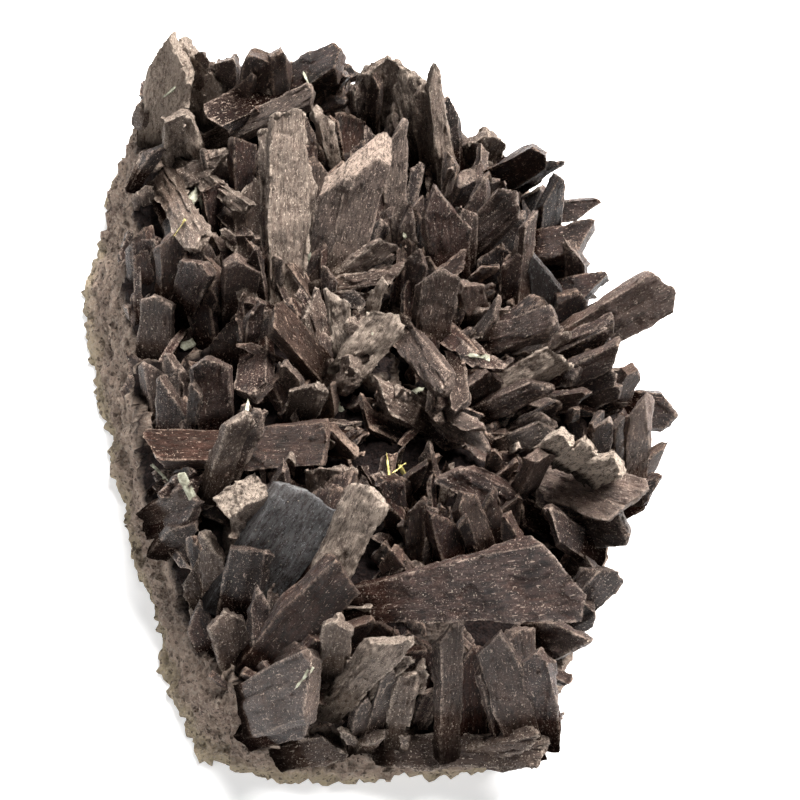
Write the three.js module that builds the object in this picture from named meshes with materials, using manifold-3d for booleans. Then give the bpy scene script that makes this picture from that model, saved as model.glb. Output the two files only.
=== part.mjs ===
// A hand specimen of axinite: flattened, axe-shaped crystals grown on a broken slab of rock.
// Millimetres, +Z up. The origin is on the flat underside of the rock, near the middle of the
// specimen. +Y is the long way of the specimen and +X the side where the crystals overhang.
import * as THREE from "three";
import { ConvexGeometry } from "three/addons/geometries/ConvexGeometry.js";
import { ImprovedNoise } from "three/addons/math/ImprovedNoise.js";
import { mergeVertices } from "three/addons/utils/BufferGeometryUtils.js";
import Module from "manifold-3d";

// The photograph is 800 pixels square and looks down on the specimen from the front.
const PICTURE_CENTRE = 400;
const EYE_DISTANCE = 240;
const EYE_ELEVATION = THREE.MathUtils.degToRad(60);
const PIXELS_PER_MM = 6.5;
const AIM = new THREE.Vector3(2, 0, 20);

// The room left round each crystal that sits in the rock or against another one.
const SOCKET_GAP = 0.3;
const WELD_STEP = 1e-4;

const TOWARDS_EYE = new THREE.Vector3(0, -Math.cos(EYE_ELEVATION), Math.sin(EYE_ELEVATION));
const EYE = AIM.clone().addScaledVector(TOWARDS_EYE, EYE_DISTANCE);
const FOCAL_PIXELS = PIXELS_PER_MM * EYE_DISTANCE;

// The point at a chosen height that is seen at a pixel of the photograph.
function at(column, row, height) {
  const across = (column - PICTURE_CENTRE) / FOCAL_PIXELS;
  const up = (PICTURE_CENTRE - row) / FOCAL_PIXELS;
  const ray = TOWARDS_EYE.clone().negate();
  ray.x += across;
  ray.y += up * Math.sin(EYE_ELEVATION);
  ray.z += up * Math.cos(EYE_ELEVATION);
  return EYE.clone().addScaledVector(ray, (height - EYE.z) / ray.z);
}

// Every crystal, from its root in the rock to its tip. wide and thick are across the blade in mm,
// roll turns it about its length in degrees, away from showing its broad face to the eye, and
// neck is the size of the root as a share of the tip's. end says where the highest place of the
// broken end lies from the left edge (-1) to the right (1), then how many mm the left and the
// right edge stop short of it. lean is how many mm more the face nearest the eye stops short:
// left out, it is the far face that stops short and the end is a sharp edge.
const CRYSTALS = {
  front_blade: [
    {
      root: at(352, 604, 27), tip: at(593, 570, 48),
      wide: 12.8, thick: 4.6, roll: -6, end: [0.1, 2.6, 4.6], neck: 0.36,
    },
  ],
  tall_pale_blade: [
    {
      root: at(286, 320, 20), tip: at(292, 104, 45),
      wide: 7.7, thick: 2.7, roll: 12, end: [0.5, 1.4, 0.8], neck: 0.66,
    },
    { root: at(266, 250, 24), tip: at(264, 124, 39), wide: 2, thick: 2.5, roll: -10, end: [0.2, 1, 0.4] },
    { root: at(302, 300, 20), tip: at(308, 160, 37), wide: 3.2, thick: 2.5, roll: 22, end: [-0.2, 1, 3] },
    { root: at(334, 162, 30), tip: at(318, 104, 41), wide: 3, thick: 2.2, roll: 10, end: [-0.2, 0.6, 2] },
  ],
  fan_wedges: [
    {
      root: at(312, 300, 20), tip: at(350, 148, 42),
      wide: 6.7, thick: 3.9, roll: -14, end: [0.2, 2, 0.4], neck: 0.7,
    },
    {
      root: at(334, 302, 20), tip: at(374, 133, 44),
      wide: 6.7, thick: 3.7, roll: 12, end: [0, 1.6, 1.6], neck: 0.8,
    },
    {
      root: at(388, 268, 20), tip: at(398, 113, 43),
      wide: 4.7, thick: 2.9, roll: 16, end: [0.3, 3.4, 1.2],
    },
    { root: at(404, 266, 24), tip: at(410, 197, 37), wide: 3.6, thick: 2.2, roll: 10, end: [0, 5, 5] },
  ],
  kite_crystal: [
    {
      root: at(450, 276, 25), tip: at(440, 183, 43),
      wide: 7.2, thick: 3.7, roll: 14, end: [-0.3, 5, 7.4], neck: 0.7,
    },
  ],
  mirror_plate: [
    {
      root: at(226, 612, 19), tip: at(316, 489, 38),
      wide: 11.6, thick: 3.6, roll: 10, end: [0.1, 2.2, 1.2], neck: 0.85,
    },
    {
      root: at(240, 612, 19), tip: at(258, 534, 34),
      wide: 6.9, thick: 3.4, roll: -10, end: [0.2, 1.2, 1],
    },
    {
      root: at(334, 508, 27), tip: at(328, 461, 36),
      wide: 8.2, thick: 2.2, roll: -6, end: [0.4, 0.4, 0.4],
    },
  ],
  pale_long_plate: [
    {
      root: at(270, 654, 19), tip: at(374, 484, 43),
      wide: 6.7, thick: 3.9, roll: -16, end: [0.1, 1.2, 1.6],
    },
    { root: at(258, 662, 17), tip: at(334, 552, 33), wide: 7.9, thick: 3.9, roll: 10, end: [0.2, 2, 1] },
  ],
  pillar: [
    {
      root: at(214, 488, 27), tip: at(244, 408, 42),
      wide: 4.7, thick: 3.1, roll: 28, end: [0.2, 1.6, 1.2],
    },
  ],
  bright_stub: [
    { root: at(262, 531, 22), tip: at(238, 494, 39), wide: 7.6, thick: 3.9, roll: 6, end: [0, 0.2, 0.2] },
  ],
  left_bar: [
    {
      root: at(232, 450, 24), tip: at(137, 447, 31),
      wide: 6.7, thick: 3.9, roll: 24, end: [0.3, 1.6, 0.6],
    },
  ],
  centre_bar: [
    {
      root: at(240, 450, 23), tip: at(338, 439, 34),
      wide: 7.9, thick: 4.6, roll: -16, end: [0, 0.4, 0.4],
    },
    {
      root: at(322, 440, 26), tip: at(354, 440, 33),
      wide: 5.7, thick: 2.5, roll: 24, end: [0.6, 1.4, 0],
    },
  ],
  arch_crystal: [
    {
      root: at(330, 380, 20), tip: at(268, 305, 35),
      wide: 6.2, thick: 3.1, roll: 32, end: [0.1, 1.4, 0.6],
    },
  ],
  scrappy_plate: [
    { root: at(352, 366, 28), tip: at(394, 309, 36), wide: 6.7, thick: 2, roll: 6, end: [0.3, 1.4, 1] },
    { root: at(371, 314, 31), tip: at(380, 276, 37), wide: 2.6, thick: 1.7, end: [0.2, 0.4, 0.4] },
    {
      root: at(344, 346, 28), tip: at(334, 284, 36),
      wide: 4.5, thick: 1.7, roll: -8, end: [-0.6, 0.4, 2.4],
    },
    { root: at(318, 290, 24), tip: at(412, 270, 32), wide: 3.2, thick: 2.2, roll: -12 },
    { root: at(330, 284, 24), tip: at(398, 236, 34), wide: 3.5, thick: 2.5, roll: 20 },
    { root: at(326, 352, 20), tip: at(304, 284, 31), wide: 5.7, thick: 3.4, roll: 20, end: [0.2, 1, 1] },
  ],
  centre_plank: [
    { root: at(390, 314, 22), tip: at(450, 396, 36), wide: 5.5, thick: 3.4, roll: 14, end: [0.2, 1, 2] },
    { root: at(455, 362, 27), tip: at(463, 417, 35), wide: 3.7, thick: 2.2, roll: -8, end: [0, 1, 1] },
    { root: at(412, 398, 22), tip: at(497, 447, 32), wide: 4.5, thick: 2, roll: 10, end: [0.5, 3, 1] },
    {
      root: at(420, 398, 25), tip: at(485, 433, 34),
      wide: 2.5, thick: 1.7, roll: -8, end: [-0.4, 0.4, 1.4],
    },
  ],
  grey_blade: [
    {
      root: at(548, 522, 19), tip: at(439, 464, 31),
      wide: 5.5, thick: 2.9, roll: -28, end: [-0.7, 0.6, 2.4],
    },
  ],
  grainy_plate: [
    {
      root: at(480, 402, 20), tip: at(574, 349, 35),
      wide: 5.2, thick: 3.2, roll: -16, end: [-0.2, 0.8, 1],
    },
    { root: at(470, 418, 20), tip: at(556, 380, 31), wide: 4, thick: 2.9, roll: 8, end: [0, 0.6, 0.8] },
    {
      root: at(494, 450, 20), tip: at(566, 424, 31),
      wide: 4.5, thick: 3.1, roll: -16, end: [0.2, 0.8, 0.8],
    },
    { root: at(540, 404, 20), tip: at(596, 400, 31), wide: 4, thick: 2.5, roll: 12, end: [0, 0.8, 1] },
    {
      root: at(478, 346, 22), tip: at(566, 318, 36),
      wide: 5.6, thick: 3.7, roll: -22, end: [0.2, 0.8, 2],
    },
    {
      root: at(474, 316, 22), tip: at(465, 276, 33),
      wide: 5.5, thick: 2.9, roll: 14, end: [-0.3, 1, 1.4],
    },
    { root: at(472, 322, 22), tip: at(507, 300, 31), wide: 3.2, thick: 2.5, roll: 10 },
    { root: at(482, 404, 20), tip: at(482, 366, 31), wide: 6.7, thick: 2.9, roll: 8, end: [0.2, 1.4, 2] },
  ],
  stepped_block: [
    {
      root: at(528, 462, 22), tip: at(650, 508, 33),
      wide: 10.7, thick: 5.1, roll: -14, end: [-0.4, 1.5, 3],
    },
    { root: at(572, 470, 24), tip: at(560, 440, 37), wide: 4, thick: 2.5, end: [0, 0, 0] },
    { root: at(598, 476, 24), tip: at(584, 446, 38), wide: 5, thick: 2.5, roll: 8, end: [0, 0, 0] },
    { root: at(624, 484, 24), tip: at(610, 455, 39), wide: 5, thick: 2.9, roll: -6, end: [0, 0, 0] },
    { root: at(560, 524, 17), tip: at(641, 533, 27), wide: 6.7, thick: 5.1, roll: 12, end: [0, 1, 1] },
    {
      root: at(517, 502, 20), tip: at(545, 445, 36),
      wide: 4.7, thick: 3.1, roll: 38, end: [0, 0.8, 0.8],
    },
    {
      root: at(633, 492, 20), tip: at(644, 388, 39),
      wide: 4.2, thick: 2.5, roll: -10, end: [0.3, 4, 2.4],
    },
    {
      root: at(618, 470, 20), tip: at(622, 410, 32),
      wide: 3.6, thick: 2.5, roll: 15, end: [0, 1.5, 1.5],
    },
    {
      root: at(600, 462, 22), tip: at(606, 415, 38),
      wide: 3.5, thick: 2.2, roll: -20, end: [0.4, 2, 0.6],
    },
  ],
  east_paddle: [
    {
      root: at(552, 354, 16), tip: at(678, 281, 33),
      wide: 8.7, thick: 3.9, roll: 8, end: [0.25, 5, 1.5],
    },
    {
      root: at(566, 352, 18), tip: at(617, 336, 28),
      wide: 4.5, thick: 3.1, roll: -10, end: [-0.4, 0.6, 1],
    },
    {
      root: at(540, 388, 20), tip: at(634, 348, 34),
      wide: 4.7, thick: 3.7, roll: 12, end: [-0.9, 0.4, 3],
    },
    { root: at(548, 402, 18), tip: at(622, 372, 29), wide: 4.2, thick: 2.9, end: [0, 1, 1] },
    { root: at(572, 410, 17), tip: at(626, 384, 28), wide: 3.2, thick: 2.5, end: [0, 1, 1] },
  ],
  organ_pipes: [
    {
      root: at(413, 574, 21), tip: at(416, 491, 35),
      wide: 3.2, thick: 2.5, roll: -10, end: [0, 0.4, 0.4],
    },
    {
      root: at(455, 566, 21), tip: at(433, 499, 36),
      wide: 4.8, thick: 2.9, roll: 12, end: [-0.2, 0.6, 0.8],
    },
    {
      root: at(486, 556, 21), tip: at(457, 487, 36),
      wide: 4.5, thick: 2.7, roll: 14, end: [0.1, 2.2, 1.8],
    },
    { root: at(474, 552, 22), tip: at(460, 514, 35), wide: 2.1, thick: 1.7, roll: -10 },
    {
      root: at(410, 590, 24), tip: at(380, 544, 35),
      wide: 4.5, thick: 2.7, roll: -30, end: [-0.2, 1.2, 0.8],
    },
    {
      root: at(401, 524, 24), tip: at(384, 471, 39),
      wide: 4.2, thick: 2.5, roll: 18, end: [-0.3, 0.6, 1.6],
    },
    { root: at(396, 528, 24), tip: at(388, 494, 36), wide: 3.7, thick: 2.2, roll: -20 },
    {
      root: at(402, 496, 22), tip: at(423, 456, 33),
      wide: 3.1, thick: 2.2, roll: 18, end: [0.3, 1.2, 0.4],
    },
    {
      root: at(416, 498, 22), tip: at(441, 453, 33),
      wide: 2.7, thick: 2, roll: -14, end: [0.2, 1.2, 0.4],
    },
    {
      root: at(516, 552, 21), tip: at(518, 513, 33),
      wide: 4.5, thick: 2.9, roll: -32, end: [0, 0.4, 0.4],
    },
    { root: at(482, 552, 18), tip: at(490, 500, 27), wide: 5.2, thick: 2.5, roll: 24, end: [0.2, 1, 1] },
  ],
  round_tips: [
    {
      root: at(410, 304, 25), tip: at(421, 243, 37),
      wide: 4.3, thick: 2.5, roll: -12, end: [0, 2.4, 2.4],
    },
    {
      root: at(430, 346, 24), tip: at(437, 263, 38),
      wide: 7.4, thick: 2.5, roll: 6, end: [0.2, 2.4, 1.2],
    },
  ],
  broad_pair: [
    {
      root: at(462, 256, 23), tip: at(523, 190, 37),
      wide: 6.7, thick: 3.4, roll: -8, end: [-0.1, 1.6, 2],
    },
    { root: at(470, 240, 20), tip: at(506, 176, 32), wide: 5, thick: 2.9, roll: 14, end: [0, 1, 1.4] },
    {
      root: at(452, 220, 24), tip: at(478, 166, 37),
      wide: 4.5, thick: 2.7, roll: 24, end: [0.2, 1.2, 1.6],
    },
    {
      root: at(519, 314, 21), tip: at(530, 206, 38),
      wide: 2.9, thick: 2.5, roll: 26, end: [0, 0.6, 0.6],
    },
    {
      root: at(508, 306, 21), tip: at(514, 248, 33),
      wide: 4.2, thick: 2.5, roll: -10, end: [0.4, 2, 0.6],
    },
    {
      root: at(556, 316, 18), tip: at(540, 250, 33),
      wide: 6.4, thick: 2.5, roll: -14, end: [0, 2.4, 2.4],
    },
  ],
  centre_lumps: [
    {
      root: at(298, 424, 22), tip: at(314, 377, 35),
      wide: 6.2, thick: 2.5, roll: -6, end: [0.2, 2.6, 0.6],
    },
    {
      root: at(326, 378, 20), tip: at(359, 374, 31),
      wide: 6.2, thick: 3.9, roll: -24, end: [-0.2, 0.8, 1.4],
    },
    {
      root: at(432, 428, 22), tip: at(365, 384, 34),
      wide: 4.5, thick: 2.5, roll: 10, end: [0.2, 0.6, 0.6],
    },
    { root: at(414, 408, 24), tip: at(402, 380, 33), wide: 4.7, thick: 2.2, roll: 10 },
  ],
  corner_plate: [
    {
      root: at(168, 188, 26), tip: at(204, 250, 34),
      wide: 5, thick: 3.1, roll: 10, end: [0.3, 1, 1.4], neck: 1,
    },
    { root: at(160, 188, 22), tip: at(234, 160, 32), wide: 4.5, thick: 2.5, roll: -14, end: [0, 1, 1] },
    { root: at(182, 164, 24), tip: at(254, 214, 33), wide: 3, thick: 2.2, roll: 16, end: [0, 0.4, 0.6] },
    { root: at(248, 254, 22), tip: at(216, 230, 31), wide: 2.7, thick: 1.9, roll: -10 },
  ],
  north_block: [
    { root: at(262, 112, 22), tip: at(267, 46, 40), wide: 8.4, thick: 4.7, end: [-0.3, 0.8, 0.8] },
    {
      root: at(280, 88, 26), tip: at(352, 60, 38),
      wide: 6.2, thick: 4.2, roll: -20, end: [-0.5, 1, 1.5],
    },
    { root: at(312, 102, 23), tip: at(353, 78, 34), wide: 3.7, thick: 2.5, roll: 15 },
    { root: at(290, 84, 27), tip: at(196, 117, 32), wide: 5.7, thick: 3.9, roll: 10, end: [0.2, 1, 1] },
    {
      root: at(203, 147, 22), tip: at(318, 97, 35),
      wide: 3.7, thick: 3.1, roll: -15, end: [-0.3, 0.6, 0.6],
    },
  ],
  north_dome: [
    { root: at(392, 128, 20), tip: at(388, 55, 38), wide: 11.4, thick: 3.4, end: [0.1, 1.6, 2] },
    {
      root: at(372, 132, 22), tip: at(362, 60, 35),
      wide: 5.6, thick: 3.4, roll: 20, end: [-0.2, 1.5, 1],
    },
    {
      root: at(426, 138, 24), tip: at(402, 70, 38),
      wide: 6.2, thick: 2.5, roll: -10, end: [0.2, 1.5, 1.5],
    },
    { root: at(441, 182, 20), tip: at(432, 60, 42), wide: 4.2, thick: 4.2, roll: 15, end: [-0.2, 2, 4] },
    { root: at(430, 170, 20), tip: at(422, 84, 38), wide: 3.2, thick: 3.4, roll: -15, end: [0, 2, 2] },
    { root: at(450, 168, 18), tip: at(453, 92, 32), wide: 3.5, thick: 3.4, end: [-0.3, 1, 2.4] },
  ],
  corner_peak: [
    { root: at(154, 134, 20), tip: at(175, 37, 41), wide: 7.2, thick: 4.2, end: [-0.1, 3, 2.5] },
    { root: at(183, 66, 30), tip: at(237, 60, 34), wide: 5.7, thick: 4.2, end: [-0.5, 1, 2] },
    { root: at(196, 92, 27), tip: at(205, 44, 37), wide: 5, thick: 3, end: [0, 1.5, 1.5] },
    {
      root: at(179, 168, 20), tip: at(178, 108, 36),
      wide: 5.7, thick: 3.9, roll: 16, end: [0.2, 0.8, 0.4],
    },
    {
      root: at(193, 162, 22), tip: at(183, 100, 37),
      wide: 2.7, thick: 2.5, roll: -8, end: [0, 0.6, 0.6],
    },
    {
      root: at(163, 128, 14), tip: at(142, 106, 26),
      wide: 7.4, thick: 4.2, roll: 8, end: [-0.2, 1, 1.2], neck: 1,
    },
    { root: at(247, 218, 20), tip: at(241, 132, 36), wide: 4, thick: 2.9, roll: 26, end: [0, 1, 1.2] },
  ],
  mid_west_block: [
    {
      root: at(236, 312, 20), tip: at(243, 252, 36),
      wide: 6.7, thick: 3.7, roll: 14, end: [-0.3, 1, 1.4],
    },
    { root: at(262, 304, 22), tip: at(250, 243, 37), wide: 2.7, thick: 2.5, roll: -16 },
    {
      root: at(182, 308, 20), tip: at(202, 256, 35),
      wide: 6.2, thick: 2.9, roll: -8, end: [0.3, 1.4, 0.8],
    },
    {
      root: at(156, 356, 16), tip: at(156, 288, 28),
      wide: 6.2, thick: 3.7, roll: -12, end: [0, 0.6, 0.6], neck: 1,
    },
  ],
  west_pair: [
    {
      root: at(216, 436, 20), tip: at(210, 351, 37),
      wide: 6.9, thick: 3.4, roll: 8, end: [-0.2, 1.2, 1.4],
    },
    { root: at(191, 434, 20), tip: at(199, 380, 34), wide: 2, thick: 2.5, roll: -10 },
    {
      root: at(178, 440, 17), tip: at(180, 374, 32),
      wide: 7.2, thick: 3.7, roll: -12, end: [0.2, 0.8, 0.8], neck: 1,
    },
    {
      root: at(166, 416, 13), tip: at(154, 352, 24),
      wide: 6, thick: 4.2, roll: 10, end: [0, 1, 1], neck: 1,
    },
    {
      root: at(256, 342, 21), tip: at(253, 404, 30),
      wide: 6.4, thick: 3.4, roll: 10, end: [0, 1.4, 1.8],
    },
    { root: at(250, 352, 22), tip: at(257, 297, 34), wide: 3, thick: 2.5, roll: 20 },
  ],
  west_nest: [
    { root: at(152, 512, 20), tip: at(204, 486, 30), wide: 3.7, thick: 2.5, roll: 10 },
    { root: at(158, 526, 18), tip: at(206, 508, 28), wide: 4, thick: 2.5, roll: -20 },
    { root: at(170, 500, 18), tip: at(182, 478, 29), wide: 3.7, thick: 2.2 },
    { root: at(164, 548, 16), tip: at(192, 516, 26), wide: 4.2, thick: 2.5, roll: 20 },
    { root: at(216, 486, 20), tip: at(150, 486, 27), wide: 5, thick: 3.4, roll: 14, end: [0, 0.8, 0.8] },
    { root: at(212, 604, 16), tip: at(214, 528, 31), wide: 4.7, thick: 3.4, roll: -10, end: [0.2, 1, 1] },
    {
      root: at(258, 670, 16), tip: at(254, 590, 30),
      wide: 3.2, thick: 2.5, roll: 10, end: [0, 0.6, 0.8],
    },
    {
      root: at(206, 602, 13), tip: at(190, 546, 24),
      wide: 5, thick: 4.2, roll: -12, end: [0.2, 1, 1], neck: 1,
    },
    { root: at(238, 672, 12), tip: at(218, 602, 25), wide: 6, thick: 3.4, roll: 10, end: [0, 1, 1] },
  ],
  rough_pale_blade: [
    { root: at(326, 716, 16), tip: at(403, 628, 37), wide: 5, thick: 3.2, roll: 8, end: [0.1, 0.8, 1.2] },
    { root: at(352, 700, 17), tip: at(412, 650, 31), wide: 3.2, thick: 2.5, roll: -16 },
    { root: at(370, 740, 10), tip: at(396, 660, 28), wide: 3.6, thick: 2.5, roll: 16 },
    {
      root: at(392, 744, 10), tip: at(413, 668, 28),
      wide: 3.8, thick: 2.2, roll: -12, end: [0.3, 1, 1.6],
    },
    { root: at(398, 698, 18), tip: at(436, 668, 28), wide: 3, thick: 2.2, roll: 8 },
    { root: at(354, 742, 10), tip: at(366, 692, 22), wide: 2.8, thick: 2, roll: 20 },
    {
      root: at(334, 668, 24), tip: at(342, 613, 37),
      wide: 5, thick: 2.9, roll: -10, end: [-0.1, 1.6, 1.2],
    },
    {
      root: at(262, 702, 17), tip: at(332, 678, 31),
      wide: 10.7, thick: 4.8, roll: -26, end: [0, 1, 2.4],
    },
    { root: at(262, 734, 10), tip: at(326, 716, 22), wide: 5, thick: 3.4, roll: 14 },
    { root: at(290, 752, 7), tip: at(352, 738, 12), wide: 6, thick: 4.2, roll: 10, end: [0, 1, 1] },
  ],
  south_east_kite: [
    {
      root: at(534, 640, 20), tip: at(598, 639, 31),
      wide: 7.4, thick: 3.2, roll: -8, end: [0.05, 4.4, 5.4],
    },
    {
      root: at(545, 672, 13), tip: at(569, 672, 19),
      wide: 4.2, thick: 2.9, roll: 20, end: [0, 0.8, 0.8],
    },
    { root: at(590, 550, 20), tip: at(539, 514, 31), wide: 5, thick: 2.9, roll: 14 },
    { root: at(574, 610, 16), tip: at(614, 560, 24), wide: 6, thick: 4.2, roll: 16, end: [0.2, 1.6, 1] },
    { root: at(560, 620, 15), tip: at(600, 600, 22), wide: 6.7, thick: 4.2, roll: 10, end: [0.2, 1, 2] },
    { root: at(560, 566, 13), tip: at(612, 590, 19), wide: 5.6, thick: 4.2, roll: -8, end: [0, 1, 2] },
  ],
  south_shelf: [
    {
      root: at(392, 748, 9), tip: at(552, 746, 14),
      wide: 5.7, thick: 5.1, roll: -14, end: [0, 0.4, 0.8],
    },
    { root: at(455, 752, 8), tip: at(548, 735, 18), wide: 3.7, thick: 3.4, roll: 20 },
    {
      root: at(447, 744, 14), tip: at(448, 616, 32),
      wide: 4.2, thick: 2.7, roll: 16, end: [0, 0.4, 0.4],
    },
    {
      root: at(524, 748, 12), tip: at(489, 626, 33),
      wide: 6.7, thick: 2.7, roll: -12, end: [0.4, 3, 6], neck: 0.9,
    },
    { root: at(500, 742, 12), tip: at(480, 652, 29), wide: 2.7, thick: 2.2, roll: 14 },
    {
      root: at(522, 700, 15), tip: at(515, 622, 29),
      wide: 5.5, thick: 2.9, roll: 24, end: [-0.3, 1.4, 1],
    },
    { root: at(546, 736, 12), tip: at(538, 644, 31), wide: 5.2, thick: 3.4, roll: -24, end: [0, 2, 2] },
    { root: at(530, 706, 12), tip: at(569, 716, 17), wide: 8.2, thick: 3.4, roll: 10, end: [0.1, 3, 3] },
  ],
  east_shelf: [
    {
      root: at(526, 244, 19), tip: at(603, 236, 29),
      wide: 5, thick: 4.2, roll: -30, end: [-0.4, 0.6, 1.8],
    },
    { root: at(538, 264, 15), tip: at(595, 264, 23), wide: 4.5, thick: 3.4, roll: 10, end: [0, 1, 1.6] },
    {
      root: at(538, 300, 17), tip: at(617, 286, 27),
      wide: 6.2, thick: 4.2, roll: -15, end: [0.2, 1.2, 0.8],
    },
    {
      root: at(542, 212, 13), tip: at(607, 207, 18),
      wide: 4.5, thick: 3.4, roll: 5, end: [-0.2, 0.5, 0.5],
    },
    { root: at(556, 336, 15), tip: at(578, 284, 26), wide: 6.4, thick: 3.4, roll: 14, end: [0, 1, 2] },
    {
      root: at(483, 186, 20), tip: at(555, 152, 34),
      wide: 6.2, thick: 4.2, roll: 15, end: [-0.1, 1, 1.4],
    },
    { root: at(518, 176, 22), tip: at(563, 168, 33), wide: 4, thick: 3.4, roll: -20, end: [0, 0.6, 0.6] },
    {
      root: at(548, 238, 17), tip: at(549, 170, 32),
      wide: 4.7, thick: 3.9, roll: 10, end: [0, 0.6, 0.6],
    },
  ],
  east_rim: [
    { root: at(612, 404, 17), tip: at(643, 361, 30), wide: 4.5, thick: 3.4, roll: 20, end: [-0.3, 1, 2] },
    { root: at(632, 408, 11), tip: at(688, 414, 17), wide: 7.4, thick: 5.4, end: [0.1, 2.4, 2] },
    { root: at(640, 476, 12), tip: at(662, 436, 20), wide: 4.2, thick: 3.4, roll: 20 },
    { root: at(632, 500, 13), tip: at(672, 479, 19), wide: 5.5, thick: 3.7, roll: -15, end: [0, 1, 1] },
  ],
  far_block: [
    { root: at(452, 165, 12), tip: at(498, 137, 24), wide: 7.7, thick: 5.1, end: [0, 1, 1] },
  ],
};

const SURFACES = {
  rock: { color: "#85786a", roughness: 0.95, metalness: 0 },
  dark: { color: "#3a2a29", roughness: 0.5, metalness: 0 },
  brown: { color: "#5b4743", roughness: 0.6, metalness: 0 },
  pale: { color: "#8f7a6e", roughness: 0.75, metalness: 0 },
};
const PALE_NODES = [
  "tall_pale_blade", "scrappy_plate", "stepped_block", "rough_pale_blade", "corner_peak",
  "corner_plate", "bright_stub", "grainy_plate", "pale_long_plate",
];
const DARK_NODES = [
  "mirror_plate", "left_bar", "centre_bar", "arch_crystal", "north_block", "east_shelf",
  "south_east_kite", "east_rim", "west_pair", "organ_pipes",
];

// The cross-section of a crystal: a leaning four-sided one with two broad faces and two sharp
// edges, each corner given as a share of the half width and of the half thickness.
const SECTION = [[-0.82, 1], [1, 0.55], [0.82, -1], [-1, -0.55]];
const BURIED_LENGTH = 2.5;
const BASE_RISE = 0.6;
const SHARPNESS = 0.7;

// How far below the full length the end of a crystal lies at a place across its width.
function endDrop(across, [point, leftCut, rightCut]) {
  if (across < point) return (leftCut * (point - across)) / (point + 1);
  return (rightCut * (across - point)) / (1 - point);
}

// The corners of a crystal: the root in the rock, the same ring where it comes out, and the end.
function crystalCorners(crystal, room = 0) {
  const { root, tip, wide, thick, roll = 0, end = [0, 0.8, 0.8], neck = 0.8 } = crystal;
  const lean = crystal.lean ?? -SHARPNESS * thick;
  const along = tip.clone().sub(root);
  const length = along.length() + room;
  along.normalize();
  const face = TOWARDS_EYE.clone().addScaledVector(along, -TOWARDS_EYE.dot(along)).normalize();
  face.applyAxisAngle(along, THREE.MathUtils.degToRad(roll));
  const across = along.clone().cross(face);
  const halfWide = wide / 2 + room;
  const halfThick = thick / 2 + room;
  const place = (u, v, distance) => root.clone()
    .addScaledVector(across, u * halfWide)
    .addScaledVector(face, v * halfThick)
    .addScaledVector(along, distance);
  const short = (v) => (Math.max(0, lean) * (1 + v)) / 2 + (Math.max(0, -lean) * (1 - v)) / 2;
  const ring = (distance) => SECTION.map(([u, v]) => place(u * neck, v * neck, distance));
  return {
    buried: ring(-BURIED_LENGTH - room),
    bare: ring(BASE_RISE + room),
    end: [
      place(end[0], 1, length - short(1)),
      place(end[0], -1, length - short(-1)),
      ...SECTION.map(([u, v]) => place(u, v, length - endDrop(u, end) - short(v))),
    ],
  };
}

function crystalSolid(crystal, room = 0) {
  const { buried, end } = crystalCorners(crystal, room);
  return solidOf(new ConvexGeometry([...buried, ...end]));
}

// The mass of crystal that the roots of one group share where its crystals would not touch.
function sharedRoot(crystals, room = 0) {
  const corners = crystals.map((crystal) => crystalCorners(crystal, room));
  return solidOf(new ConvexGeometry(corners.flatMap(({ buried, bare }) => [...buried, ...bare])));
}

function bladesTogether(crystals, room = 0) {
  return crystals.map((crystal) => crystalSolid(crystal, room)).reduce((a, b) => a.add(b));
}

function grownTogether(crystals, room = 0) {
  const apart = bladesTogether(crystals).decompose().length > 1;
  const blades = bladesTogether(crystals, room);
  return apart ? blades.add(sharedRoot(crystals, room)) : blades;
}

const engine = await Module();
engine.setup();

// A closed solid from a three.js geometry, its corners shared between the triangles.
function solidOf(geometry) {
  const bare = geometry.clone();
  bare.deleteAttribute("normal");
  bare.deleteAttribute("uv");
  const welded = mergeVertices(bare, WELD_STEP);
  return new engine.Manifold(new engine.Mesh({
    numProp: 3,
    vertProperties: new Float32Array(welded.attributes.position.array),
    triVerts: new Uint32Array(welded.index.array),
  }));
}

// The rock. Its outline is read at stations round it, each with the foot on the table and the
// rim above it, anticlockwise from the far left corner.
const ROCK_MIDDLE = at(350, 430, 8);
const STATIONS = [
  { foot: at(127, 165, 0), rim: at(146, 140, 18) },
  { foot: at(108, 246, 0), rim: at(142, 240, 17) },
  { foot: at(84, 306, 0), rim: at(131, 300, 16) },
  { foot: at(100, 362, 0), rim: at(142, 350, 17) },
  { foot: at(112, 430, 0), rim: at(141, 430, 16) },
  { foot: at(129, 495, 0), rim: at(152, 500, 15) },
  { foot: at(144, 560, 0), rim: at(184, 560, 16) },
  { foot: at(160, 602, 0), rim: at(206, 602, 17) },
  { foot: at(166, 662, 0), rim: at(228, 655, 17) },
  { foot: at(183, 722, 0), rim: at(246, 702, 15) },
  { foot: at(200, 760, 0), rim: at(264, 730, 12) },
  { foot: at(238, 774, 0), rim: at(275, 738, 11) },
  { foot: at(318, 784, 0), rim: at(328, 745, 9) },
  { foot: at(390, 772, 0), rim: at(398, 750, 9) },
  { foot: at(456, 772, 0), rim: at(470, 750, 8) },
  { foot: at(508, 758, 0), rim: at(528, 738, 9) },
  { foot: at(540, 710, 0), rim: at(552, 690, 11) },
  { foot: at(558, 625, 0), rim: at(578, 600, 12) },
  { foot: at(576, 540, 0), rim: at(606, 520, 12) },
  { foot: at(580, 460, 0), rim: at(612, 445, 12) },
  { foot: at(566, 380, 0), rim: at(596, 360, 13) },
  { foot: at(548, 310, 0), rim: at(566, 280, 14) },
  { foot: at(522, 240, 0), rim: at(536, 205, 14) },
  { foot: at(470, 185, 0), rim: at(478, 150, 15) },
  { foot: at(400, 150, 0), rim: at(400, 112, 17) },
  { foot: at(300, 135, 0), rim: at(298, 92, 19) },
  { foot: at(212, 122, 0), rim: at(210, 80, 20) },
  { foot: at(150, 125, 0), rim: at(152, 76, 22) },
];
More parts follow.
